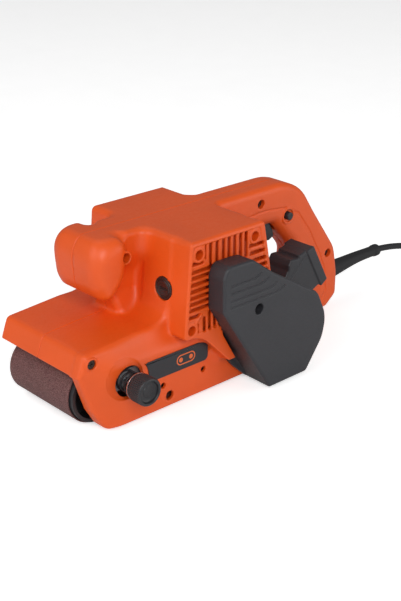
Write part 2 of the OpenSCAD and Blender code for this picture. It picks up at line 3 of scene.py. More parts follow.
import bpy
import numpy as np
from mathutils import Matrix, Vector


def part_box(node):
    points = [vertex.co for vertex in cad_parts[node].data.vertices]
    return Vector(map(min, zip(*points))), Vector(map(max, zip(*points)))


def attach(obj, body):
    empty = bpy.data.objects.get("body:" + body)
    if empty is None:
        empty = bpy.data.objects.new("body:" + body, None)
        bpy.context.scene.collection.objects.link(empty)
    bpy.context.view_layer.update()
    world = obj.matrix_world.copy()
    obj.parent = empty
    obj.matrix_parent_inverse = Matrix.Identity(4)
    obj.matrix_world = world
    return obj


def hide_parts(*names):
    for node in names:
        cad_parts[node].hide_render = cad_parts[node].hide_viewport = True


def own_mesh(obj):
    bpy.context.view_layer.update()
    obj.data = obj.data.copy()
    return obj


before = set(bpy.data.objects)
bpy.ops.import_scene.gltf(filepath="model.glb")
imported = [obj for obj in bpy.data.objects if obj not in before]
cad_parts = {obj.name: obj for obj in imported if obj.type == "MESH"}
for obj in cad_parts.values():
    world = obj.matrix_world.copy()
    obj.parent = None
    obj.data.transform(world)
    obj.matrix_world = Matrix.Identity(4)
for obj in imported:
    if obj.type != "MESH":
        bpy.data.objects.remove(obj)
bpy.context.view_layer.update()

import openvdb
from mathutils import Matrix, Vector

MM = 0.001
f32 = np.float32

# ---- where things are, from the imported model, in millimetres ------------------------------


def corners(node):
    lo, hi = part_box(node)
    return np.array(lo) / MM, np.array(hi) / MM


def middle(node):
    lo, hi = corners(node)
    return (lo + hi) / 2


belt_lo, belt_hi = corners("sanding_belt")
left_lo, left_hi = corners("left_housing")
right_hi = corners("right_housing")[1]
cover_lo, cover_hi = corners("belt_cover")
duct_lo, duct_hi = corners("dust_duct")
label_lo, label_hi = corners("label_plate")
knob_lo, knob_hi = corners("tracking_knob")
lock_lo, lock_hi = corners("lock_button")
AXIS_Z = middle("sanding_belt")[2]
FRONT_X, REAR_X = belt_lo[0] + AXIS_Z, belt_hi[0] - AXIS_Z
MOTOR_X, _, MOTOR_Z = middle("armature_shaft")
KNOB_X, _, KNOB_Z = middle("tracking_knob")
LOCK_X, _, LOCK_Z = middle("lock_button")
TRIG_X, _, TRIG_Z = middle("trigger_pin")
CORD_Z = middle("power_cord")[2]
LEVER_X, LEVER_Y, _ = middle("lever_pin")
TOP_Z = left_hi[2]
NEAR_Y = left_lo[1]
FAR_Y = right_hi[1]
PANEL_Y = label_hi[1] + 0.05
COVER_Y = cover_lo[1]
CAP_Y, CAP_Z = -44.0, MOTOR_Z
RIM_Y = -40.6
WALL = 3.0
SEAM = 0.05
FLUTES = 44
SCREW_R, SCREW_HEAD_R = 2.05, 3.9
BOSS_R = 5.4
COVER_SCREW = (44.3, 75.4)
CORD_R, GUARD_R = 3.05, 8.05
DISH_DEPTH = 2.2
DISH_X, DISH_Z = KNOB_X + 1.2, KNOB_Z - 0.8
HANDLE_HALF = 16.0

# ---- outlines in X and Z, counter-clockwise, as (x, z, corner radius) ---------------------

BLOCK = [(-16.5, 52, 0), (83.5, 52, 0), (82, 62, 3), (60.6, 170, 0), (-6.7, 170, 0), (-16, 62, 3)]
GRILLE = [(-16.8, 60, 3), (82, 60, 3), (60.6, 170, 0), (-6.9, 170, 0)]
DECK = [(-102.4, 49.5, 0), (-13, 49.5, 0), (-13, 70, 0), (-46, 70, 0), (-96, 66.6, 5)]
PANEL = [(-91.9, 19.7, 4), (-82, 2.6, 8), (112, 2.6, 6), (112, 30, 12), (98, 52, 4), (84, 62, 0),
         (-20, 68, 0), (-96, 66.6, 3), (-102.2, 50.6, 2)]
HANDLE = [(104, 3.5, 0), (210, 3.5, 8), (223.5, 14, 8), (223.5, 36, 30), (218.5, 62, 30),
          (188, 104, 16), (173, 126.5, 40), (152, TOP_Z, 50), (40, TOP_Z, 0), (60, 56, 0), (100, 50, 0)]
OPENING = [(80, 66, 8), (104, 52, 8), (158, 51, 12), (173, 62, 12), (159, 79.5, 20),
           (137, 102, 6), (76.5, 102, 5)]
TRIGGER = [(104.5, 96, 4), (112, 91, 4), (126, 92.5, 6), (134, 86.3, 3), (139, 85.2, 2),
           (145, 88.3, 2), (143.5, 94, 3), (140.5, 99, 0), (139, 109, 2), (133, 109.5, 1),
           (131, 105.5, 0), (104.5, 105.5, 1)]
SKIRT = [(34.2, 28.5), (40.5, 19.3), (57, 3.9), (60, 3.9), (44, 30)]
BULB = [(-34.5, 170, 0), (-68.5, 170, 0), (-68.5, 116, 14), (-65, 100, 12), (-57, 89, 8),
        (-48, 91.5, 10), (-38, 104, 14), (-34.5, 118, 10)]
NECK = [(0, 170, 0), (-56, 170, 0), (-60, 96, 6), (-48, 87, 6), (-38, 83, 4), (-33, 64, 0), (0, 60, 0)]
COVER = [(58.5, 2.7, 2), (101, 2.9, 4), (119.5, 28, 22), (123.5, 46, 26), (112, 70, 16),
         (60.4, 100.7, 0), (37, 117.5, 6), (11, 118, 7), (7, 109, 5), (7, 82, 5), (30.7, 45.6, 0)]
DUCT = [(106, 30, 0), (158.8, 54, 0), (139, 88.6, 1), (133, 86.6, 0.5), (129.5, 86.3, 0.5),
        (129, 84, 0.5), (120.5, 84.5, 1.5), (117.3, 80, 1), (116.9, 75.6, 1), (100, 50, 0)]
GROOVE = [(84, 114.5), (109.3, 116.6), (121.1, 117.3), (132, 116.9), (150, 114.9), (166, 106.9),
          (181.9, 86.3), (195.9, 61.3), (203.4, 45.3), (206.4, 22.7), (200, 13)]
HOUSE_SCREWS = [(-91, 59.5, -50), (-37, 121.4, -14), (-1.9, 126.7, -24), (56.4, 127.3, -24),
                (-9.5, 67.3, -24), (119.7, 124.7, -10), (207.3, 58.4, -10), (128, 40, -10)]
PANEL_SCREWS = [(-28.7, 22.9), (13.1, 22.9), (-22.2, 12.5)]


def round_outline(points, steps=6):
    """Points of a closed outline whose corners carry a radius."""
    out, n = [], len(points)
    for i, (cx, cz, r) in enumerate(points):
        c = np.array((cx, cz), float)
        if r == 0:
            out.append(c)
            continue
        p, q = np.array(points[i - 1][:2], float), np.array(points[(i + 1) % n][:2], float)
        a, b = (p - c) / np.linalg.norm(p - c), (q - c) / np.linalg.norm(q - c)
        half = math.acos(max(-1, min(1, a @ b))) / 2
        mid = c + (a + b) / np.linalg.norm(a + b) * (r / math.sin(half))
        s, e = c + a * (r / math.tan(half)) - mid, c + b * (r / math.tan(half)) - mid
        a0 = math.atan2(s[1], s[0])
        turn = (math.atan2(e[1], e[0]) - a0 + math.pi) % (2 * math.pi) - math.pi
        for k in range(steps + 1):
            t = a0 + turn * k / steps
            out.append(mid + r * np.array((math.cos(t), math.sin(t))))
    return out


# ---- distance fields ------------------------------------------------------------------------


class Grid:
    """Sample points of a box, kept as three broadcastable axes."""

    def __init__(self, lo, hi, step):
        self.lo, self.step = np.array(lo, float), step
        axes = [lo[i] + step * np.arange(int(math.ceil((hi[i] - lo[i]) / step)) + 1) for i in range(3)]
        self.x = axes[0].astype(f32).reshape(-1, 1, 1)
        self.y = axes[1].astype(f32).reshape(1, -1, 1)
        self.z = axes[2].astype(f32).reshape(1, 1, -1)

    def window(self, lo, hi):
        """The part of the grid inside a box, and its slices."""
        pad = 4 * self.step
        slices, part = [], object.__new__(Grid)
        for axis, a, b in zip((self.x, self.y, self.z), lo, hi):
            v = axis.ravel()
            slices.append(slice(int(np.searchsorted(v, a - pad)), int(np.searchsorted(v, b + pad))))
        part.x = self.x[slices[0]]
        part.y = self.y[:, slices[1]]
        part.z = self.z[:, :, slices[2]]
        part.step = self.step
        return tuple(slices), part


def to_segment(ax, az, ex, ez, u, v):
    """Squared distance to the straight piece from (ax, az) that runs by (ex, ez)."""
    wx, wz = u - f32(ax), v - f32(az)
    t = np.clip((wx * f32(ex) + wz * f32(ez)) / f32(ex * ex + ez * ez), 0, 1)
    return (wx - f32(ex) * t) ** 2 + (wz - f32(ez) * t) ** 2


def flat(points, u, v, steps=6):
    """Signed distance to a closed outline in the plane of two axes, negative inside."""
    pts = round_outline(points, steps) if len(points[0]) == 3 else [np.array(p) for p in points]
    best, inside = None, None
    for i, (bx, bz) in enumerate(pts):
        ax, az = pts[i - 1]
        ex, ez = bx - ax, bz - az
        if ex * ex + ez * ez < 1e-9:
            continue
        d = to_segment(ax, az, ex, ez, u, v)
        best = d if best is None else np.minimum(best, d)
        if az != bz:
            cross = ((az > v) != (bz > v)) & (u < f32(ex / ez) * (v - f32(az)) + f32(ax))
            inside = cross if inside is None else inside ^ cross
    return np.where(inside, -1, 1).astype(f32) * np.sqrt(best)


def polyline(points, u, v):
    """Distance to an open chain of points."""
    best = None
    for (ax, az), (bx, bz) in zip(points, points[1:]):
        d = to_segment(ax, az, bx - ax, bz - az, u, v)
        best = d if best is None else np.minimum(best, d)
    return np.sqrt(best)


def both(a, b, r=0.0):
    """Where two solids overlap, with the edge between them rounded to r."""
    if np.isscalar(r) and r == 0:
        return np.maximum(a, b)
    p, q = a + r, b + r
    return np.minimum(np.maximum(p, q), 0) + np.hypot(np.maximum(p, 0), np.maximum(q, 0)) - r


def join(a, b, k=0.0):
    """Union, with a fillet of about k where the two meet."""
    if np.isscalar(k) and k == 0:
        return np.minimum(a, b)
    return np.minimum(a, b) - np.maximum(k - np.abs(a - b), 0) ** 2 / (4 * k)


def between(axis, lo, hi):
    return np.maximum(lo - axis, axis - hi)


def rod(g, x, z, r, y0, y1, edge=0.0):
    return both(np.hypot(g.x - f32(x), g.z - f32(z)) - f32(r), between(g.y, y0, y1), edge)


def rod_x(g, y, z, r, x0, x1, edge=0.0):
    return both(np.hypot(g.y - f32(y), g.z - f32(z)) - f32(r), between(g.x, x0, x1), edge)


def cuboid(g, x0, x1, y0, y1, z0, z1, edge=0.0):
    return both(both(between(g.x, x0, x1), between(g.y, y0, y1), edge), between(g.z, z0, z1), edge)


def ramp(t):
    t = np.clip(t, 0, 1)
    return t * t * (3 - 2 * t)


def carve(field, g, lo, hi, tool):
    s, part = g.window(lo, hi)
    field[s] = np.maximum(field[s], -tool(part))


def add(field, g, lo, hi, tool, k=0.0):
    s, part = g.window(lo, hi)
    field[s] = join(field[s], tool(part), k)


def drill(field, g, x, z, r, y0, y1, edge=0.0):
    carve(field, g, (x - r, y0, z - r), (x + r, y1, z + r), lambda p: rod(p, x, z, r, y0, y1, edge))


def cut(a, b):
    """Solid a without solid b."""
    return np.maximum(a, -b)


def post(field, g, x, z, r, y0, y1):
    add(field, g, (x - r, y0, z - r), (x + r, y1, z + r), lambda p: rod(p, x, z, r, y0, y1))


def add_block(field, g, *box):
    """Adds a cuboid. box is x0, x1, y0, y1, z0, z1 and, where its edges are rounded, their radius."""
    add(field, g, box[0:6:2], box[1:6:2], lambda p: cuboid(p, *box))


def cut_block(field, g, *box):
    carve(field, g, box[0:6:2], box[1:6:2], lambda p: cuboid(p, *box))


def sample(field, g, points):
    """The field's value at points, by trilinear interpolation."""
    q = (points - g.lo) / g.step
    top = np.array(field.shape) - 2
    i = np.clip(np.floor(q).astype(int), 0, top)
    t = (q - i).astype(f32)
    out = np.zeros(len(points), f32)
    for dx in (0, 1):
        for dy in (0, 1):
            for dz in (0, 1):
                w = (t[:, 0] if dx else 1 - t[:, 0]) * (t[:, 1] if dy else 1 - t[:, 1])
                w = w * (t[:, 2] if dz else 1 - t[:, 2])
                out += w * field[i[:, 0] + dx, i[:, 1] + dy, i[:, 2] + dz]
    return out


def place(name, data):
    obj = bpy.data.objects.new(name, data)
    bpy.context.scene.collection.objects.link(obj)
    return obj


def add_mesh(name, verts, faces, body, replaced, mat, normals=None, smooth=True):
    """A piece from vertices in millimetres and faces, riding on its body."""
    mesh = bpy.data.meshes.new(name)
    counts = np.array([len(f) for f in faces])
    mesh.vertices.add(len(verts))
    mesh.vertices.foreach_set("co", (np.asarray(verts, float) * MM).astype(f32).ravel())
    mesh.loops.add(int(counts.sum()))
    corners_of_faces = np.concatenate([np.asarray(f) for f in faces]).astype(np.int32)
    mesh.loops.foreach_set("vertex_index", corners_of_faces)
    mesh.polygons.add(len(counts))
    mesh.polygons.foreach_set("loop_start", (np.cumsum(counts) - counts).astype(np.int32))
    mesh.update(calc_edges=True)
    mesh.validate()
    mesh.polygons.foreach_set("use_smooth", [smooth] * len(mesh.polygons))
    if normals is not None:
        mesh.normals_split_custom_set_from_vertices(normals)
    obj = place(name, mesh)
    mesh.materials.append(MATS[mat])
    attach(obj, body)
    if replaced:
        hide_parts(*replaced)
    return obj


def solid(name, field, g, body, replaced, mat, adaptivity=0.01):
    """The surface of a field as a piece, shaded by the field's own gradient."""
    field, band = field.astype(f32), 3 * g.step
    vdb = openvdb.FloatGrid(band)
    vdb.copyFromArray(np.clip(field, -band, band), tolerance=0.0)
    vdb.gridClass = openvdb.GridClass.LEVEL_SET
    points, tris, quads = vdb.convertToPolygons(isovalue=0.0, adaptivity=adaptivity)
    points = g.lo + g.step * np.asarray(points, float)
    d = 0.55 * g.step
    grad = np.stack([sample(field, g, points + d * e) - sample(field, g, points - d * e)
                     for e in np.eye(3)], 1)
    grad /= np.maximum(np.linalg.norm(grad, axis=1, keepdims=True), 1e-9)
    faces = [f[::-1] for f in tris] + [f[::-1] for f in quads]
    return add_mesh(name, points, faces, body, replaced, mat, grad)


# ---- materials ------------------------------------------------------------------------------


class Shader:
    """Short calls for building a node graph. Positions are in millimetres."""

    def __init__(self, name):
        self.mat = bpy.data.materials.new(name)
        self.mat.use_nodes = True
        self.tree = self.mat.node_tree
        self.bsdf = self.tree.nodes["Principled BSDF"]
        coord = self.node("ShaderNodeTexCoord")
        self.mm = self.vector("MULTIPLY", coord.outputs["Object"], (1000, 1000, 1000))

    def node(self, kind, **settings):
        n = self.tree.nodes.new(kind)
        for key, value in settings.items():
            setattr(n, key, value)
        return n

    def put(self, socket, value):
        if isinstance(value, bpy.types.NodeSocket):
            self.tree.links.new(value, socket)
        elif socket.type == "RGBA" and not isinstance(value, (int, float)):
            socket.default_value = (*value[:3], 1)
        else:
            socket.default_value = value

    def vector(self, op, a, b):
        n = self.node("ShaderNodeVectorMath", operation=op)
        self.put(n.inputs[0], a)
        self.put(n.inputs[1], b)
        return n.outputs[0]

    def math(self, op, a, b):
        n = self.node("ShaderNodeMath", operation=op)
        self.put(n.inputs[0], a)
        self.put(n.inputs[1], b)
        return n.outputs[0]

    def noise(self, per_mm, detail=2.0, stretch=(1, 1, 1), rough=0.5, distortion=0.0):
        n = self.node("ShaderNodeTexNoise")
        self.put(n.inputs["Vector"], self.vector("MULTIPLY", self.mm, stretch))
        self.put(n.inputs["Scale"], per_mm)
        self.put(n.inputs["Detail"], detail)
        self.put(n.inputs["Roughness"], rough)
        self.put(n.inputs["Distortion"], distortion)
        return n.outputs[0]

    def cells(self, per_mm):
        n = self.node("ShaderNodeTexVoronoi")
        self.put(n.inputs["Vector"], self.mm)
        self.put(n.inputs["Scale"], per_mm)
        return n

    def channels(self, colour):
        n = self.node("ShaderNodeSeparateColor")
        self.put(n.inputs[0], colour)
        return n.outputs

    def span(self, value, lo, hi, to_lo=0.0, to_hi=1.0):
        n = self.node("ShaderNodeMapRange", clamp=True)
        for socket, v in zip(n.inputs[:5], (value, lo, hi, to_lo, to_hi)):
            self.put(socket, v)
        return n.outputs[0]

    def mix(self, factor, a, b):
        n = self.node("ShaderNodeMix", data_type="RGBA")
        self.put(n.inputs[0], factor)
        self.put(n.inputs[6], a)
        self.put(n.inputs[7], b)
        return n.outputs[2]

    def bump(self, height, strength, distance, normal=None):
        n = self.node("ShaderNodeBump")
        self.put(n.inputs["Strength"], strength)
        self.put(n.inputs["Distance"], distance * MM)
        self.put(n.inputs["Height"], height)
        if normal is not None:
            self.put(n.inputs["Normal"], normal)
        return n.outputs[0]

    def edges(self, radius):
        """How much the surface bends within radius, and the rounded normal."""
        bevel = self.node("ShaderNodeBevel", samples=4)
        self.put(bevel.inputs["Radius"], radius * MM)
        geometry = self.node("ShaderNodeNewGeometry")
        dot = self.node("ShaderNodeVectorMath", operation="DOT_PRODUCT")
        self.put(dot.inputs[0], bevel.outputs[0])
        self.put(dot.inputs[1], geometry.outputs["Normal"])
        return self.span(dot.outputs["Value"], 0.995, 0.86), bevel.outputs[0]

    def ridges(self):
        geometry = self.node("ShaderNodeNewGeometry")
        return self.span(geometry.outputs["Pointiness"], 0.53, 0.62)

    def output(self, colour, rough, normal, metal=0.0, **more):
        for key, value in (("Base Color", colour), ("Roughness", rough), ("Normal", normal),
                           ("Metallic", metal), *more.items()):
            self.put(self.bsdf.inputs[key.replace("_", " ")], value)
        return self.mat


def srgb(r, g, b):
    return tuple(((v / 255 + 0.055) / 1.055) ** 2.4 if v > 10 else v / 3294 for v in (r, g, b))


def scaled(colour, k):
    return tuple(min(1.0, c * k) for c in colour)


def plastic(name, colour, rough=0.42, grain=0.05, spread=0.10, wear=0.5, edge=0.6, field=False,
            pitch=2.2, spec=0.45):
    """Moulded plastic: faint flow marks, a spark-eroded grain, and edges rubbed lighter."""
    s = Shader(name)
    flow = s.noise(0.02, 3, (1, 1, 1), 0.5, 0.2)
    fine = s.noise(pitch, 2)
    scuff = s.noise(0.35, 5, (1, 1, 2.5), 0.7)
    base = s.mix(s.span(flow, 0.3, 0.7), scaled(colour, 1 - spread), scaled(colour, 1 + spread))
    base = s.mix(s.span(fine, 0.35, 0.75, 0.0, 0.10), base, scaled(colour, 1.25))
    if field:
        rim, normal = s.ridges(), None
    else:
        rim, normal = s.edges(edge)
    worn = s.math("MULTIPLY", rim, s.span(scuff, 0.42, 0.62, 0.15, wear))
    pale = tuple(0.78 * c + 0.06 for c in scaled(colour, 1.35))
    base = s.mix(worn, base, pale)
    roughness = s.math("ADD", s.span(scuff, 0.3, 0.7, rough - 0.06, rough + 0.07),
                       s.math("MULTIPLY", worn, 0.12))
    return s.output(base, roughness, s.bump(fine, 0.35, grain, normal), 0.0, Specular_IOR_Level=spec)


def metal(name, colour, rough=0.3, stretch=(1, 1, 1), lines=1.2, depth=0.02, spread=0.12, edge=0.3,
          metallic=1.0, stain=None):
    """Machined or drawn metal: tool lines along one axis, faint stains, bright edges."""
    s = Shader(name)
    drawn = s.noise(lines, 3, stretch, 0.65)
    cloud = s.noise(0.09, 4, (1, 1, 1), 0.6, 0.5)
    rim, normal = s.edges(edge)
    base = s.mix(s.span(drawn, 0.3, 0.7), scaled(colour, 1 - spread), scaled(colour, 1 + spread))
    base = s.mix(s.span(cloud, 0.45, 0.75, 0, 0.55), base, stain or scaled(colour, 0.72))
    base = s.mix(s.math("MULTIPLY", rim, 0.6), base, scaled(colour, 1.45))
    roughness = s.math("ADD", s.span(drawn, 0.3, 0.7, rough - 0.07, rough + 0.08),
                       s.span(cloud, 0.4, 0.8, 0.0, 0.12))
    return s.output(base, roughness, s.bump(drawn, 0.4, depth, normal), metallic)


def abrasive():
    """Coated cloth: grit grains of several tones set in a brown-red resin, dulled by dust."""
    s = Shader("mat_abrasive")
    grit = s.cells(2.1)
    small = s.cells(4.6)
    cloud = s.noise(0.05, 4, (1, 1, 1), 0.6, 0.4)
    tone = s.channels(grit.outputs["Color"])
    base = s.mix(s.span(tone[0], 0.05, 0.95), srgb(64, 38, 40), srgb(128, 84, 82))
    glint = s.channels(small.outputs["Color"])
    base = s.mix(s.span(glint[1], 0.80, 0.98, 0, 0.75), base, srgb(176, 132, 126))
    base = s.mix(s.span(cloud, 0.45, 0.8, 0, 0.3), base, srgb(120, 92, 84))
    height = s.math("ADD", s.span(grit.outputs["Distance"], 0.0, 0.6, 1.0, 0.0),
                    s.math("MULTIPLY", s.span(small.outputs["Distance"], 0.0, 0.6, 1.0, 0.0), 0.4))
    return s.output(base, s.span(tone[1], 0, 1, 0.55, 0.85), s.bump(height, 0.8, 0.22), 0.0,
                    Specular_IOR_Level=0.35)


def rubber(name, colour, rough=0.62):
    s = Shader(name)
    dust = s.noise(0.12, 5, (1, 1, 1), 0.65, 0.6)
    fine = s.noise(3.0, 3)
    rim, normal = s.edges(0.5)
    base = s.mix(s.span(dust, 0.4, 0.75, 0, 0.5), colour, scaled(colour, 1.9))
    base = s.mix(s.math("MULTIPLY", rim, 0.35), base, scaled(colour, 2.4))
    return s.output(base, s.span(dust, 0.3, 0.7, rough - 0.08, rough + 0.12),
                    s.bump(fine, 0.4, 0.05, normal), 0.0, Specular_IOR_Level=0.35)


def speckled(name, colour, speck, per_mm, amount=0.5, rough=0.8, metallic=0.0, depth=0.12):
    """Granular stuff such as cork, sintered bronze, carbon or resin board."""
    s = Shader(name)
    grain = s.cells(per_mm)
    tone = s.channels(grain.outputs["Color"])
    cloud = s.noise(per_mm * 0.15, 3)
    rim, normal = s.edges(0.3)
    base = s.mix(s.span(tone[0], 0.2, 0.9, 0, amount), colour, speck)
    base = s.mix(s.span(cloud, 0.4, 0.7, 0, 0.4), base, scaled(colour, 0.7))
    base = s.mix(s.math("MULTIPLY", rim, 0.4), base, scaled(colour, 1.35))
    return s.output(base, s.span(tone[1], 0, 1, rough - 0.1, rough + 0.1),
                    s.bump(grain.outputs["Distance"], 0.5, depth, normal), metallic)


ORANGE = srgb(228, 84, 12)
MATS = {
    "orange": plastic("mat_orange", ORANGE, 0.46, 0.035, 0.05, 0.3, field=True, spec=0.55),
    "orange_cad": plastic("mat_orange_bracket", ORANGE, 0.42, 0.035, 0.05, 0.3),
    "cover": plastic("mat_cover", srgb(48, 48, 52), 0.47, 0.07, 0.08, 0.7, field=True, pitch=1.6),
    "black": plastic("mat_black_plastic", srgb(40, 40, 43), 0.38, 0.04, 0.10, 0.6),
    "black_field": plastic("mat_black_moulded", srgb(40, 40, 43), 0.40, 0.05, 0.10, 0.6, field=True),
    "brown": plastic("mat_brown_resin", srgb(44, 30, 27), 0.35, 0.03, 0.12, 0.5),
    "nylon": plastic("mat_white_nylon", srgb(206, 202, 188), 0.5, 0.03, 0.06, 0.3),
    "label": plastic("mat_label", srgb(41, 42, 46), 0.36, 0.015, 0.06, 0.4, pitch=4),
    "mark": plastic("mat_label_mark", srgb(224, 106, 52), 0.4, 0.01, 0.05, 0.3, pitch=4),
    "rubber": rubber("mat_black_rubber", srgb(34, 34, 36)),
    "abrasive": abrasive(),
    "steel": metal("mat_bright_steel", srgb(190, 191, 194), 0.24, (1, 0.12, 1), 1.6),
    "blackened": metal("mat_blackened_steel", srgb(52, 52, 56), 0.36, (1, 1, 1), 1.5, 0.02, 0.2,
                       metallic=0.9, stain=srgb(66, 50, 42)),
    "zinc": metal("mat_zinc", srgb(96, 84, 78), 0.32, (1, 1, 1), 2.4, 0.03, 0.16),
    "pressed": metal("mat_pressed_steel", srgb(150, 152, 156), 0.34, (0.1, 1, 1), 1.4),
    "cast": metal("mat_cast_alloy", srgb(150, 151, 153), 0.52, (1, 1, 1), 1.1, 0.12, 0.10,
                  metallic=0.9),
    "laminated": metal("mat_laminated_steel", srgb(120, 121, 124), 0.42, (0.05, 2.2, 0.05), 1.0,
                       0.12, 0.25),
    "copper": metal("mat_copper", srgb(184, 110, 70), 0.3, (0.3, 0.3, 2), 2.0, 0.10, 0.2),
    "bronze": speckled("mat_sintered_bronze", srgb(170, 128, 74), srgb(120, 86, 48), 3.0, 0.6,
                       0.45, 1.0, 0.05),
    "cork": speckled("mat_cork", srgb(160, 122, 82), srgb(104, 74, 46), 1.0, 0.8, 0.85),
    "carbon": speckled("mat_carbon", srgb(38, 38, 40), srgb(70, 70, 74), 4.0, 0.5, 0.55, 0.2, 0.03),
}


# ---- housing ----------------------------------------------------------------------------------


def side_face(x, z):
    """Y of the near side, which bows in towards the front and leans in above the panel."""
    bow = 1 - (1 - ramp((-66 - x) / 36)) * (1 - ramp((z - 49) / 19))
    return PANEL_Y + 8 * bow


def housing_body(g):
    """Outside of the whole housing, both halves together."""
    x, y, z = g.x, g.y, g.z
    side = np.abs(y)
    deck2 = join(flat(DECK, x, z), flat(BLOCK, x, z), 20)
    hood = np.maximum(np.hypot(x - f32(REAR_X), z - f32(AXIS_Z)) - 31, AXIS_Z - 14 - z)
    deck2 = np.minimum(deck2, hood)
    face = side_face(x, z)
    body = both(both(deck2, face - y, 4.0), y - FAR_Y, 3.0)
    near = both(flat(GRILLE, x, z), between(y, NEAR_Y, -20.0), 1.8)
    body = join(body, near, 3.5)
    # Front knob with its finger necks
    plan = both(np.abs(x + 37) - 31.2, side - 31, 15.0)
    bulb = both(plan, flat(BULB, x, z), 9.0)
    neck_width = side - (11.0 + 8.5 * ramp((z - 98) / 24) + 0.35 * np.maximum(88 - z, 0))
    neck = both(neck_width, flat(NECK, x, z), 6.0)
    nose = join(bulb, neck, 3 + 5 * ramp((z - 112) / 14))
    body = join(nose, body, 4.5 + 8 * ramp((z - 100) / 26))
    # Flat top with a rounded rim, wider round the knob's front
    rim = 5 - 1.8 * ramp((-56 - y) / 14) + 6 * ramp((-26 - x) / 8) + 7 * ramp((-46 - x) / 18)
    body = both(body, z - f32(TOP_Z), rim)
    grip = both(both(flat(HANDLE, x, z), side - HANDLE_HALF, 6.0), -flat(OPENING, x, z), 10.0)
    body = join(body, grip, 7.0)
    panel2 = flat(PANEL, x, z)
    body = join(body, both(panel2, between(y, face, RIM_Y), 3.0), 1.5)
    return np.maximum(body, z - f32(TOP_Z)).astype(f32)


def belt_room(g):
    """Space of the sanding belt, its rollers and the hollow behind the side panel."""
    x, y, z = g.x, g.y, g.z
    room = np.maximum(between(x, -99.2, REAR_X), z - 52)
    disc = np.hypot(x - f32(REAR_X), z - f32(AXIS_Z)) - 27.3
    room = np.minimum(room, np.minimum(disc, np.maximum(between(x, -99.2, REAR_X + 23), z - 6)))
    room = np.maximum(room, z - 52)
    panel = flat(PANEL, x, z) + WALL
    room = both(room, between(y, RIM_Y, 60))
    depth = np.maximum(side_face(x, z) + WALL - y, y - (RIM_Y + 1))
    return np.minimum(room, both(np.minimum(panel, disc), depth))


def grille_cuts(field, g):
    """Slots of the ventilation grille, mitred at the frame's corners."""
    y0, y1 = NEAR_Y - 1, NEAR_Y + WALL + 3

    def slot(x0, x1, z0, z1):
        cut_block(field, g, x0, x1, y0, y1, z0, z1, 0.5)

    for x in (10.4, 16.9, 23.5, 29.3, 35.2, 41.5, 47.4):
        slot(x - 1.6, x + 1.6, 112, 133.5)
    slot(4.4, 5.8, 121, 133.5)
    for i, z in enumerate((120.2, 113.8, 109, 103.8, 98.4, 93.3, 88.4, 83.5, 77.8)):
        left = -12.6 + (z - 77.8) * 0.086
        slot(left, 3.0 if i == 0 else 14 if 0 < i < 8 else 0.5, z - 1.5, z + 1.5)
    for x, top in ((4.1, 75), (9.5, 79), (14.9, 79), (20.3, 79), (25.7, 79)):
        slot(x - 1.6, x + 1.6, 62.6, top)
    slot(-3.0, -1.8, 62.8, 71)
    for i, z in enumerate((120, 113.5, 107, 101.4, 95.8, 90.2, 84.6, 79)):
        slot(50 + i * 2, 66.5 - (z - 120) * 0.2, z - 1.5, z + 1.5)
    # A shallow step inside the frame
    inner = [(-13.2, 63.6, 2), (76.5, 63.6, 2), (62.2, 133.8, 2), (-7.2, 133.8, 2)]
    carve(field, g, (-14, y0, 62), (78, y0 + 2, 135),
          lambda p: both(flat(inner, p.x, p.z), between(p.y, y0, NEAR_Y + 0.7)))
    for x, z in ((-1.9, 126.7), (56.4, 127.3), (-9.0, 67.3)):
        add(field, g, (x - 7, y0, z - 7), (x + 7, y1, z + 7),
            lambda p: rod(p, x, z, 6.2, NEAR_Y, NEAR_Y + 4, 0.6), 0.4)
    for x0, z0, x1, z1 in ((2.4, 122, 7.4, 117), (-5, 72.4, 0.2, 77.6)):
        add(field, g, (min(x0, x1) - 2, y0, min(z0, z1) - 2), (max(x0, x1) + 2, y1, max(z0, z1) + 2),
            lambda p: both(polyline([(x0, z0), (x1, z1)], p.x, p.z) - 0.9,
                           between(p.y, NEAR_Y, NEAR_Y + 3)))


def halve(field, y, side):
    """Keeps one side of the parting plane, with a small chamfer along the joint."""
    cut = side * y + SEAM
    return np.maximum(np.maximum(field, cut), (field + cut + 0.1) * f32(0.7071))


def dish(p):
    """Shallow dish that narrows and shifts back towards the tracking knob as it deepens."""
    depth = p.y - side_face(p.x, p.z)
    t = np.clip(depth / DISH_DEPTH, 0, 1)
    away = 1 - t
    round_knob = np.hypot(p.x - (DISH_X - 5.5 * away), p.z - (DISH_Z + 4.3 * away))
    return both((round_knob - 13 - 3.5 * away) * f32(0.6), depth - DISH_DEPTH)


def cut_groove(field, g, side):
    """Fine groove that follows the handle, on one side of it."""
    y = side * HANDLE_HALF
    carve(field, g, (82, min(y - side * 2, y + side), 10), (210, max(y - side * 2, y + side), 120),
          lambda p: np.hypot(polyline(GROOVE, p.x, p.z), p.y - y) - 0.75)


def cord_room(p):
    """Bore of the cord, and the wider one of the guard's end collar."""
    return np.minimum(rod_x(p, 0, CORD_Z, GUARD_R, 219, 232), rod_x(p, 0, CORD_Z, CORD_R, 190, 220))


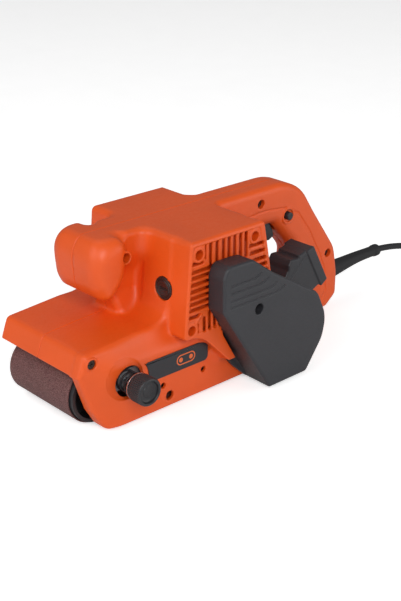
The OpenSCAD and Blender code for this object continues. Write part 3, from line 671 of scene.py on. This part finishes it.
def build_left(step):
    g = Grid((-104.5, NEAR_Y - 2, 0.5), (227, 1.6, TOP_Z + 2), step)
    x, y, z = g.x, g.y, g.z
    outer = housing_body(g)
    wedge = [(-2, 62), (18.6, 62), (37.5, 29.5), (30, 29.5)]
    add(outer, g, (-14, NEAR_Y, 18), (50, PANEL_Y + 4, 76),
        lambda p: both(flat(wedge, p.x, p.z), between(p.y, NEAR_Y, PANEL_Y + 2), 1.0), 8.0)
    carve(outer, g, (10, NEAR_Y, 10), (60, PANEL_Y, 61),
          lambda p: both(both(flat(COVER, p.x, p.z) - 0.4, p.z - 60.5),
                         between(p.y, COVER_Y, PANEL_Y)))
    outer = np.maximum(outer, NEAR_Y - y)
    # Handle details on the surface
    cut_groove(outer, g, -1)
    add(outer, g, (LOCK_X - 8, -18, LOCK_Z - 8), (LOCK_X + 8, -14, LOCK_Z + 8),
        lambda p: rod(p, LOCK_X, LOCK_Z, 7.4, -16.7, -13, 0.5), 0.8)
    shell = cut(outer, outer + WALL)
    add_block(shell, g, -13, REAR_X, -57, 2, 52, 54.5)
    for sx, sz, depth in HOUSE_SCREWS:
        y0 = {-50: -54, -14: -29.5, -24: -70, -10: -14}[depth]
        post(shell, g, sx, sz, BOSS_R, y0, 2)
    for sx, sz in PANEL_SCREWS:
        post(shell, g, sx, sz, 5.0, PANEL_Y + 1, -48.2)
    add_block(shell, g, 199, 207, -14, 2, 5, CORD_Z)
    # Baffle behind the grille, open round the motor axis and behind the belt guard
    add(shell, g, (-18, -66, 60), (84, -61, TOP_Z),
        lambda p: np.maximum(both(np.maximum(flat(GRILLE, p.x, p.z) + 1.0, p.z - (TOP_Z - 1.5)),
                                  between(p.y, -64.0, -62.2)),
                             -np.minimum(np.hypot(p.x - f32(MOTOR_X), p.z - f32(MOTOR_Z)) - 14,
                                         flat(COVER, p.x, p.z) + 6)))
    field = cut(shell, belt_room(g))
    grille_cuts(field, g)
    for sx, sz, depth in HOUSE_SCREWS:
        drill(field, g, sx, sz, SCREW_HEAD_R, -100, depth)
        drill(field, g, sx, sz, SCREW_R, -100, 2)
    for sx, sz in PANEL_SCREWS:
        drill(field, g, sx, sz, SCREW_HEAD_R if sz < 20 else 2.6, -70, -54)
        drill(field, g, sx, sz, SCREW_R, -70, -40)
    drill(field, g, *COVER_SCREW, SCREW_R, -80, -57)
    drill(field, g, REAR_X, AXIS_Z, 14, -70, -56)
    drill(field, g, MOTOR_X, MOTOR_Z, 12, -80, -66)
    # Dish that runs down to the hole of the tracking knob, with a boss behind it
    around = ((KNOB_X - 23, -64, KNOB_Z - 16), (KNOB_X + 16, -50, KNOB_Z + 22))
    add(field, g, *around, lambda p: both(np.hypot(p.x - f32(KNOB_X - 3), p.z - f32(KNOB_Z + 2)) - 17,
                                          between(p.y - side_face(p.x, p.z), 1.0, 5.0)))
    carve(field, g, *around, dish)
    drill(field, g, DISH_X, DISH_Z, 12.6, -70, -50)
    # Recess of the label
    x0, x1, z0, z1 = label_lo[0] - 0.3, label_hi[0] + 0.3, label_lo[2] - 0.3, label_hi[2] + 0.3
    recess = [(x0, z0, 3), (x1, z0, 4.2), (x1, z1, 4.2), (x0, z1, 3)]
    carve(field, g, (x0, PANEL_Y - 2, z0), (x1, PANEL_Y + 1, z1),
          lambda p: both(flat(recess, p.x, p.z), between(p.y, PANEL_Y - 5, PANEL_Y)))
    for x0, x1 in ((-20, 10), (60, 90)):
        carve(field, g, (x0, CAP_Y - 10, CAP_Z - 10), (x1, CAP_Y + 10, CAP_Z + 10),
              lambda p: rod_x(p, CAP_Y, CAP_Z, 9.35, x0, x1))
    carve(field, g, (190, -9, CORD_Z - 9), (230, 2, CORD_Z + 9), cord_room)
    drill(field, g, LOCK_X, LOCK_Z, 3.6, -30, -10)
    drill(field, g, LOCK_X, LOCK_Z, 5.6, -30, -15)
    cut_block(field, g, 103, 145, -8.5, 2, 90, 106, 0.4)
    field = halve(field, y, 1)
    return solid("housing_left_half", field, g, "housing", ["left_housing"], "orange")


def build_right(step):
    g = Grid((-104.5, -1.6, 0.5), (227, FAR_Y + 2, TOP_Z + 2), step)
    y = g.y
    outer = housing_body(g)
    cut_groove(outer, g, 1)
    shell = cut(outer, outer + WALL)
    add_block(shell, g, -13, REAR_X, -2, 45, 52, 54.5)
    inside = outer + 0.6
    for sx, sz, _ in HOUSE_SCREWS:
        post(shell, g, sx, sz, BOSS_R, -2, FAR_Y)
    post(shell, g, LOCK_X, LOCK_Z, 4.5, 4, 15)
    add_block(shell, g, 199, 207, -2, 14, 5, CORD_Z)
    shell = np.maximum(shell, np.where(inside > 0, outer, -9))
    field = cut(shell, belt_room(g))
    for i in range(7):
        x0 = 2 + i * 7.5
        cut_block(field, g, x0, x0 + 3.4, FAR_Y - 5, FAR_Y + 1, 80, 112, 1.2)
    for sx, sz, _ in HOUSE_SCREWS:
        drill(field, g, sx, sz, SCREW_R, -2, 10.5)
    carve(field, g, (190, -2, CORD_Z - 9), (230, 9, CORD_Z + 9), cord_room)
    cut_block(field, g, 103, 145, -2, 8.5, 90, 106, 0.4)
    field = halve(field, y, -1)
    return solid("housing_right_half", field, g, "housing", ["right_housing"],
                 "orange")


# ---- covers and small mouldings -----------------------------------------------------------------


def build_cover(step):
    g = Grid(cover_lo - 2, cover_hi + 2, step)
    x, y, z = g.x, g.y, g.z
    shape = flat(COVER, x, z) + (PANEL_Y - 6 - y) * f32(-0.02)
    body = both(shape, between(y, COVER_Y, PANEL_Y - SEAM), 2.2)
    hollow = both(shape + 2.4, between(y, COVER_Y + 2.5, PANEL_Y + 2), 1.0)
    body = cut(body, hollow)
    add(body, g, (38, COVER_Y, 69), (51, NEAR_Y, 82),
        lambda p: rod(p, *COVER_SCREW, BOSS_R, COVER_Y + 1, NEAR_Y - SEAM))
    grille = flat([(-16.1, 59.9, 3), (82.1, 59.9, 3), (67, 137.7, 6), (-9.6, 137.7, 6)], x, z)
    above = flat([(-20, 200), (140, 200), (140, 61), (-20, 61)], x, z)
    back = np.maximum(np.minimum(grille, above), NEAR_Y - SEAM - y)
    wedge = flat([(0, 61.2), (19.0, 61.2), (37.9, 29.0), (29.6, 29.0)], x, z)
    back = np.minimum(back, np.maximum(wedge, NEAR_Y - SEAM - y))
    body = cut(body, back)
    # Foot below the grille's wedge
    body = join(body, both(flat(SKIRT, x, z), between(y, -64, PANEL_Y - SEAM), 0.5))
    drill(body, g, *COVER_SCREW, 4.4, COVER_Y - 2, -80)
    drill(body, g, *COVER_SCREW, SCREW_R, COVER_Y - 2, NEAR_Y + 2)
    for path in ([(15, 102), (38, 102), (41.5, 103), (45.4, 105)],
                 [(15, 95.9), (45, 95.9), (50, 96.9), (53.8, 98.9)],
                 [(15, 89.7), (53, 89.7), (58.5, 90.6), (62.9, 92.4)],
                 [(15, 84.4), (60, 84.4), (66.5, 85.2), (72.1, 87.4)]):
        carve(body, g, (14, COVER_Y - 1, 83), (74, COVER_Y + 2, 106),
              lambda p: np.hypot(polyline(path, p.x, p.z), p.y - COVER_Y) - 0.8)
    return solid("belt_guard", body, g, "housing", ["belt_cover"], "cover",
                 0.004)


def build_duct(step):
    g = Grid(duct_lo - 2, duct_hi + 2, step)
    x, y, z = g.x, g.y, g.z
    y0, y1 = duct_lo[1] + 1.2, duct_hi[1] - 1.2
    body = both(flat(DUCT, x, z), between(y, y0, y1), 1.8)
    rim = [(157.8, 51.2, 1), (165.2, 56.2, 1), (146.6, 90.8, 1), (137.4, 88.4, 1)]
    body = join(body, both(flat(rim, x, z), between(y, duct_lo[1], duct_hi[1]), 1.0), 0.8)
    # Step across the near face where the duct widens
    add(body, g, (110, y0 - 1, 40), (150, y0 + 2, 86),
        lambda p: both(polyline([(118.5, 66), (138.4, 86.2)], p.x, p.z) - 0.8,
                       between(p.y, y0 - 0.5, y0 + 1), 0.4), 0.5)
    hollow = [(96, 36, 0), (108, 33, 0), (156, 55.6, 0), (170, 61.5, 0), (152, 94, 0), (137, 84, 0),
              (121, 74.5, 0), (96, 44, 0)]
    body = cut(body, both(flat(hollow, x, z), between(y, y0 + 2.2, y1 - 2.2), 1.0))
    body = cut(body, np.hypot(x - f32(REAR_X), z - f32(AXIS_Z)) - 31.05)
    return solid("dust_outlet_duct", body, g, "housing", ["dust_duct"], "cover",
                 0.004)


def build_trigger(step):
    lo, hi = corners("trigger")
    g = Grid(lo - 1, hi + 1, step)
    x, y, z = g.x, g.y, g.z
    body = both(flat(TRIGGER, x, z), np.abs(y) - 8, 2.0)
    body = join(body, rod(g, TRIG_X, TRIG_Z, 4, -8, 8, 0.5), 1.0)
    for x0 in (110, 114, 118, 122):
        body = cut(body, both(np.hypot(x - x0, z - (91.0 + 0.10 * (x0 - 112))) - 0.8,
                                      np.abs(y) - 5.5, 0.4))
    body = cut(body, rod(g, TRIG_X, TRIG_Z, 2.05, -9, 9))
    return solid("trigger_paddle", body, g, "trigger", ["trigger"],
                 "black_field", 0.004)


def build_lever(step):
    lo, hi = corners("tension_lever")
    g = Grid(lo - 1, hi + 1, step)
    z0, z1 = lo[2], hi[2]
    body = rod_z(g, LEVER_X, LEVER_Y, 5, z0, z1)
    body = np.minimum(body, rod_z(g, LEVER_X, LEVER_Y - 5.2, 3, z0, z1))
    body = join(body, cuboid(g, LEVER_X, 42, 38.5, 42.8, z0, z1, 0.9), 1.0)
    body = join(body, cuboid(g, 22, 43, 42, 45.5, z0, z1, 1.4), 1.5)
    for x0 in (26, 29.5, 33, 36.5, 40):
        body = cut(body, both(np.hypot(g.x - x0, g.y - 45.7) - 0.8,
                                      between(g.z, z0 + 2, z1 - 2), 0.3))
    body = cut(body, rod_z(g, LEVER_X, LEVER_Y, 3.05, z0 - 1, z1 + 1))
    return solid("tension_release_lever", body, g, "lever", ["tension_lever"],
                 "black_field", 0.004)


def rod_z(g, x, y, r, z0, z1, edge=0.5):
    return both(np.hypot(g.x - f32(x), g.y - f32(y)) - f32(r), between(g.z, z0, z1), edge)


def build_caps(step):
    """Both brush caps: a flange, a raised slotted boss and a fine ring groove."""
    lo, hi = corners("brush_caps")
    for label, side, x_in, x_out in (("front", -1, MOTOR_X - 37.1, lo[0]),
                                     ("rear", 1, MOTOR_X + 45.1, hi[0])):
        a, b = min(x_in, x_out), max(x_in, x_out)
        g = Grid((a - 1, CAP_Y - 11, CAP_Z - 11), (b + 1, CAP_Y + 11, CAP_Z + 11), step)
        radius = np.hypot(g.y - CAP_Y, g.z - f32(CAP_Z))
        depth = (x_out - g.x) * side
        body = both(radius - 9.3, between(g.x, a, b), 0.8)
        body = cut(body, np.hypot(radius - 7.1, depth) - 0.55)
        body = cut(body, both(both(between(g.y, CAP_Y - 4.4, CAP_Y + 4.4),
                                           between(g.z, CAP_Z - 0.9, CAP_Z + 0.9)), depth - 1.6))
        body = cut(body, np.hypot(radius, depth + 18.4) - 19.2)
        solid("brush_cap_" + label, body, g, "housing", ["brush_caps"],
              "brown", 0.004)


def lathe(profile, steps, centre, wobble=None):
    """Turns (y, radius) points round a Y axis. wobble(angle, index) scales a radius."""
    verts, faces, n = [], [], len(profile)
    for j in range(steps):
        a = 2 * math.pi * j / steps
        for i, (y, r) in enumerate(profile):
            q = r * (wobble(a, i) if wobble else 1)
            verts.append((centre[0] + q * math.cos(a), y, centre[1] + q * math.sin(a)))
    for j in range(steps):
        k = (j + 1) % steps
        for i in range(n - 1):
            faces.append((j * n + i, j * n + i + 1, k * n + i + 1, k * n + i))
    faces.append([j * n for j in range(steps)])
    faces.append([j * n + n - 1 for j in range(steps)][::-1])
    return verts, faces


def build_knob():
    """Tracking knob: fluted round the rim, with a dished face and a raised centre."""
    y0, y1 = knob_lo[1], knob_hi[1]
    r = (knob_hi[0] - knob_lo[0]) / 2
    profile = [(y1, 3.1), (y1, 9.6), (y1 - 0.3, 10.1), (y1 - 1.2, 10.4), (y1 - 1.9, r), (y1 - 4, r),
               (y1 - 7, r), (y0 + 2.2, r), (y0 + 1.5, r), (y0 + 0.7, r - 0.4), (y0 + 0.15, r - 1.0),
               (y0, r - 1.7), (y0 + 0.25, r - 2.3), (y0 + 1.0, r - 2.75), (y0 + 2.5, r - 2.95),
               (y0 + 3.0, r - 3.6), (y0 + 3.1, 5.0), (y0 + 3.1, 4.4), (y0 + 2.7, 4.0), (y0 + 2.6, 0.2)]
    profile = profile[::-1]
    fluted = {len(profile) - 1 - i for i in (4, 5, 6, 7, 8)}

    def wobble(a, i):
        if i not in fluted:
            return 1
        return 1 - 0.055 * (0.5 - 0.5 * math.cos(FLUTES * a)) ** 0.7

    return lathe(profile, FLUTES * 8, (KNOB_X, KNOB_Z), wobble)


def sweep(path, radius, sides=12):
    """A tube along points, its section turned with the path. radius is one value or one per point."""
    path = np.asarray(path, float)
    radius = np.broadcast_to(radius, len(path))
    tangent = np.gradient(path, axis=0)
    tangent /= np.linalg.norm(tangent, axis=1, keepdims=True)
    normal = np.cross(tangent[0], (0.3, 0.2, 0.9))
    verts, faces = [], []
    for p, t, r in zip(path, tangent, radius):
        normal = normal - t * (normal @ t)
        normal /= np.linalg.norm(normal)
        other = np.cross(t, normal)
        for j in range(sides):
            a = 2 * math.pi * j / sides
            verts.append(p + r * (math.cos(a) * normal + math.sin(a) * other))
    for i in range(len(path) - 1):
        for j in range(sides):
            k = (j + 1) % sides
            faces.append((i * sides + j, i * sides + k, (i + 1) * sides + k, (i + 1) * sides + j))
    faces.append(list(range(sides))[::-1])
    faces.append([(len(path) - 1) * sides + j for j in range(sides)])
    return verts, faces


def spring_path(radius, wire, length, turns, per_turn=28):
    """Points of a coil spring along +Z whose end turns lie flat."""
    n = int(turns * per_turn)
    points = []
    for i in range(n + 1):
        t = i / n
        run = np.clip((t * turns - 0.7) / (turns - 1.4), 0, 1)
        a = 2 * math.pi * turns * t
        points.append((radius * math.cos(a), radius * math.sin(a), wire + (length - 2 * wire) * run))
    return np.array(points)


def belt_loop(step_mm=1.6):
    """The sanding belt as a closed band with softly frayed edges and a slanting joint."""
    r, half = AXIS_Z, (belt_hi[1] - belt_lo[1]) / 2
    mid_y = (belt_hi[1] + belt_lo[1]) / 2
    thick = 0.9
    span = REAR_X - FRONT_X
    total = 2 * span + 2 * math.pi * r
    count = int(total / step_mm)
    rows = [-half, -half + 0.35] + list(np.linspace(-half + 4, half - 4, 13)) + [half - 0.35, half]
    rng = np.random.default_rng(11)
    fray = rng.uniform(0, 0.22, (2, count))

    def ring(s, depth):
        s = s % total
        if s < span:
            return FRONT_X + s, AXIS_Z - r + depth
        s -= span
        if s < math.pi * r:
            a = -math.pi / 2 + s / r
            return REAR_X + (r - depth) * math.cos(a), AXIS_Z + (r - depth) * math.sin(a)
        s -= math.pi * r
        if s < span:
            return REAR_X - s, AXIS_Z + r - depth
        a = math.pi / 2 + (s - span) / r
        return FRONT_X + (r - depth) * math.cos(a), AXIS_Z + (r - depth) * math.sin(a)

    verts, faces, n = [], [], len(rows)
    for i in range(count):
        for layer in (0, 1):
            for j, row in enumerate(rows):
                s = total * i / count
                edge = fray[0, i] if j == 0 else -fray[1, i] if j == n - 1 else 0
                # The glued joint crosses the belt at a slant and stands a little lower
                joint = abs(s - 40 - 0.6 * (row + half))
                depth = thick if layer else 0.10 * max(0.0, 1 - joint / 2.2)
                depth += 0.12 if layer == 0 and j in (0, n - 1) else 0
                x, z = ring(s, depth)
                verts.append((x, mid_y + row + edge, z))
    for i in range(count):
        a, b = i * 2 * n, ((i + 1) % count) * 2 * n
        for j in range(n - 1):
            faces.append((a + j, a + j + 1, b + j + 1, b + j))
            faces.append((a + n + j + 1, a + n + j, b + n + j, b + n + j + 1))
        faces.append((a, b, b + n, a + n))
        faces.append((a + n - 1, a + 2 * n - 1, b + 2 * n - 1, b + n - 1))
    return verts, faces


def prism(points, y0, y1, bevel=0.2):
    """A plate in X and Z from y0 (its face) to y1, with a bevelled front edge."""
    pts = [np.array(p, float) for p in points]
    n = len(pts)
    inner = []
    for i in range(n):
        p, c, q = pts[i - 1], pts[i], pts[(i + 1) % n]
        a, b = (c - p) / np.linalg.norm(c - p), (q - c) / np.linalg.norm(q - c)
        m = np.array((-a[1] - b[1], a[0] + b[0]))
        m /= max(np.linalg.norm(m), 1e-6)
        inner.append(c + m * bevel)
    verts = [(p[0], y0, p[1]) for p in inner] + [(p[0], y0 + bevel, p[1]) for p in pts]
    verts += [(p[0], y1, p[1]) for p in pts]
    faces = [list(range(n))]
    for k in (0, 1):
        for i in range(n):
            j = (i + 1) % n
            faces.append((k * n + j, k * n + i, (k + 1) * n + i, (k + 1) * n + j))
    faces.append([2 * n + i for i in range(n)][::-1])
    return verts, faces


def label_outline():
    """Plate outline whose lower front corner gives way to the knob's scoop."""
    x0, x1, z0, z1 = label_lo[0], label_hi[0], label_lo[2], label_hi[2]
    r = 17.7
    pts = round_outline([(x0, z0, 3), (x1, z0, 4), (x1, z1, 4), (x0, z1, 3)], 8)
    outside = [p for p in pts if math.hypot(p[0] - KNOB_X, p[1] - KNOB_Z) > r]
    top = math.asin(min(1, (z1 - KNOB_Z) / r))
    low = math.asin((z0 - KNOB_Z) / r)
    arc = [np.array((KNOB_X + r * math.cos(a), KNOB_Z + r * math.sin(a)))
           for a in np.linspace(top, low, 14)]
    first = max(range(len(outside)), key=lambda i: (outside[i][1] > (z0 + z1) / 2, -outside[i][0]))
    chain = outside[first + 1:] + outside[:first + 1]
    return chain, arc


def curve_solid(name, verts, faces, body, replaced, slot, mat):
    obj = add_mesh(name, verts, faces, body, replaced, mat)
    obj.data.set_sharp_from_angle(angle=math.radians(38))
    return obj


build_left(0.7)
build_right(0.7)
build_cover(0.6)
build_duct(0.5)
build_trigger(0.3)
build_lever(0.35)
build_caps(0.3)
curve_solid("tracking_knob_fluted", *build_knob(), "knob", ["tracking_knob"], "black_plastic",
            "black")
curve_solid("abrasive_belt", *belt_loop(), "housing", ["sanding_belt"], "abrasive", "abrasive")


def coil(name, node, radius, wire, turns, axis, slot, mat):
    """A coil spring filling its node's box along one axis."""
    lo, hi = corners(node)
    path = spring_path(radius, wire, hi[axis] - lo[axis], turns)
    centre = (lo + hi) / 2
    points = np.empty_like(path)
    points[:, axis] = lo[axis] + path[:, 2]
    for k, other in enumerate(i for i in range(3) if i != axis):
        points[:, other] = centre[other] + path[:, k]
    verts, faces = sweep(points, wire, 12)
    obj = curve_solid(name, verts, faces, "housing", [node], slot, mat)
    anchor = centre.copy()
    anchor[axis] = hi[axis]
    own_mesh(obj)


coil("tracking_spring_coil", "tracking_spring", 8, 0.85, 4, 1, "blackened_steel", "blackened")
coil("tension_spring_coil", "tension_spring", 4.6, 0.7, 7, 0, "bright_steel", "steel")
coil("lock_spring_coil", "lock_spring", 2.6, 0.4, 5, 1, "bright_steel", "steel")


def cord_bend(x):
    """Height of the cord's centre line over its clamp: up along the guard, then down."""
    return 2.6 * float(ramp((x - 224) / 50)) - 6.0 * (max(x - 296, 0) / 40) ** 1.6


guard = [(215, 3.2), (215, 9.3), (217.3, 9.5), (217.6, 8.6), (218.4, 8.0), (226, 8.0), (232, 7.9)]
for i in range(1, 13):
    guard.append((232 + i * 4.8, 7.9 - 2.8 * math.sin(i / 12 * math.pi / 2) ** 0.9))
guard += [(290.4, 5.0), (291.2, 5.3), (292, 5.7), (293, 5.8), (296.6, 5.8), (297.7, 5.5), (298, 5.0),
          (297.6, 3.4), (292, 3.05)]
verts, faces = lathe([(y, r) for y, r in guard], 64, (0, 0))
verts = [(v[1], v[0], v[2] + CORD_Z + cord_bend(v[1])) for v in verts]
faces = [f[::-1] for f in faces]
curve_solid("cord_guard_sleeve", verts, faces, "housing", ["cord_guard"], "black_rubber", "rubber")
cord = [(x, 0, CORD_Z + cord_bend(x)) for x in np.linspace(190, 341, 66)]
curve_solid("power_cord_cable", *sweep(cord, 3.0, 24), "housing", ["power_cord"], "black_rubber",
            "rubber")

# Lock button with a domed end
lock = [(lock_hi[1], 0.1), (lock_hi[1], 4.3), (lock_hi[1] - 0.3, 4.6), (-9.95, 4.6), (-9.9, 3.5),
        (lock_lo[1] + 0.9, 3.5), (lock_lo[1] + 0.3, 3.2), (lock_lo[1] + 0.05, 2.6), (lock_lo[1], 1.6),
        (lock_lo[1] + 0.2, 0.1)]
curve_solid("lock_button_domed", *lathe(lock[::-1], 48, (LOCK_X, LOCK_Z)), "lock_button",
            ["lock_button"], "black_plastic", "black")

# Label plate and its mark: a belt loop with two rollers
chain, arc = label_outline()
plate = prism(chain + arc, label_lo[1], label_hi[1], 0.25)
curve_solid("label_plate_inlay", *plate, "housing", ["label_plate"], "cover_grey", "label")


def stadium(cx, cz, half, r, steps=18):
    right = [(cx + half + r * math.cos(a), cz + r * math.sin(a))
             for a in np.linspace(-math.pi / 2, math.pi / 2, steps)]
    left = [(cx - half + r * math.cos(a), cz + r * math.sin(a))
            for a in np.linspace(math.pi / 2, 3 * math.pi / 2, steps)]
    return right + left


def band(outer, inner, y0, y1):
    """A flat ring between two outlines with the same number of points."""
    n = len(outer)
    verts = []
    for y in (y0, y1):
        verts += [(p[0], y, p[1]) for p in outer] + [(p[0], y, p[1]) for p in inner]
    faces = []
    for i in range(n):
        j = (i + 1) % n
        faces.append((i, j, n + j, n + i))
        faces.append((2 * n + j, 2 * n + i, 3 * n + i, 3 * n + j))
        faces.append((j, i, 2 * n + i, 2 * n + j))
        faces.append((n + i, n + j, 3 * n + j, 3 * n + i))
    return verts, faces


mark_x, mark_z = -6.0, (label_lo[2] + label_hi[2]) / 2
mark_y0, mark_y1 = label_lo[1] - 0.12, label_lo[1] + 0.3
mark_half = 5.2
verts, faces = band(stadium(mark_x, mark_z, mark_half, 4.4), stadium(mark_x, mark_z, mark_half, 3.4),
                    mark_y0, mark_y1)
for dx in (-mark_half, mark_half):
    disc = [(mark_x + dx + 2.0 * math.cos(a), mark_z + 2.0 * math.sin(a))
            for a in np.linspace(0, 2 * math.pi, 25)[:-1]]
    v, f = prism(disc, mark_y0, mark_y1, 0.08)
    faces += [[i + len(verts) for i in face] for face in f]
    verts += v
curve_solid("label_mark", verts, faces, "housing", [], "housing_orange", "mark")

# ---- CAD nodes that keep their shape ----------------------------------------------------------

FINISH = {
    "zinc": ["housing_screws", "frame_screws", "cover_screw", "clamp_screws"],
    "steel": ["sole_rivets", "front_axle", "axle_clips", "yoke_pin", "lever_pin",
              "tracking_screw", "tracking_washer", "drive_shaft", "drive_bearing", "end_bearing",
              "armature_shaft", "motor_bearing_near", "motor_bearing_far", "brush_springs",
              "trigger_pin"],
    "pressed": ["sole_plate", "front_yoke"],
    "cast": ["base_frame", "tension_slide", "roller_core"],
    "orange_cad": ["bearing_bracket"],
    "laminated": ["armature_core", "stator_core"],
    "copper": ["armature_windings", "commutator", "field_windings"],
    "bronze": ["front_bushes"],
    "cork": ["sole_pad"],
    "rubber": ["roller_sleeve", "drive_belt"],
    "black": ["front_roller", "switch_body"],
    "blackened": ["driven_pulley", "motor_pulley"],
    "brown": ["brush_holders"],
    "carbon": ["carbon_brushes"],
    "nylon": ["motor_fan", "cord_clamp"],
}
for finish, names in FINISH.items():
    for name in names:
        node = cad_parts[name]
        node.data.materials.clear()
        node.data.materials.append(MATS[finish])

# ---- floor, light and camera ------------------------------------------------------------------


def look(position, target):
    back = (Vector(position) - Vector(target)).normalized()
    right = Vector((0, 0, 1)).cross(back).normalized()
    up = back.cross(right)
    m = Matrix((right, up, back)).transposed().to_4x4()
    m.translation = Vector(position)
    return m


def area(name, position, target, size, power):
    data = bpy.data.lights.new(name, "AREA")
    data.shape = "DISK"
    data.size = size
    data.energy = power
    place(name, data).matrix_world = look(position, target)


floor_mesh = bpy.data.meshes.new("floor")
floor_mesh.from_pydata([(-9, -9, -0.0004), (9, -9, -0.0004), (9, 9, -0.0004), (-9, 9, -0.0004)], [],
                       [(0, 1, 2, 3)])
floor = place("floor", floor_mesh)
s = Shader("mat_floor")
s.put(s.bsdf.inputs["Emission Color"], (1, 1, 1))
seen = s.node("ShaderNodeLightPath").outputs["Is Camera Ray"]
s.put(s.bsdf.inputs["Emission Strength"], s.math("MULTIPLY", seen, 0.55))
paper = s.noise(0.02, 3)
s.output(s.mix(s.span(paper, 0.3, 0.7), (0.88, 0.88, 0.88), (0.92, 0.92, 0.92)), 0.7,
         s.bump(paper, 0.05, 0.1), 0.0, Specular_IOR_Level=0.2)
floor_mesh.materials.append(s.mat)

world = bpy.data.worlds.new("studio")
bpy.context.scene.world = world
world.use_nodes = True
world.node_tree.nodes["Background"].inputs[0].default_value = (1, 1, 1, 1)
# White where the camera sees it, dimmer as a light
sky = world.node_tree
seen = sky.nodes.new("ShaderNodeLightPath").outputs["Is Camera Ray"]
level = sky.nodes.new("ShaderNodeMapRange")
level.inputs["To Min"].default_value = 0.25
level.inputs["To Max"].default_value = 1.0
sky.links.new(seen, level.inputs["Value"])
sky.links.new(level.outputs[0], sky.nodes["Background"].inputs[1])

aim = (0.05, -0.02, 0.07)
area("key", (-0.85, -1.45, 1.15), aim, 0.8, 17)
area("fill_right", (1.2, -1.5, 0.5), aim, 1.2, 8)
area("fill_left", (-1.6, 0.1, 0.95), aim, 1.5, 12)
area("top", (0.2, 0.6, 1.7), aim, 1.4, 3)

scene = bpy.context.scene
scene.view_settings.view_transform = "Standard"
camera_data = bpy.data.cameras.new("camera")
camera = place("camera", camera_data)
eye = Vector((-0.5392, -0.6578, 0.4342))
camera.matrix_world = look(eye, eye - Vector((-0.621, -0.676, 0.397)))
camera_data.sensor_width = 36
camera_data.lens = 69.03
camera_data.clip_end = 50
scene.camera = camera
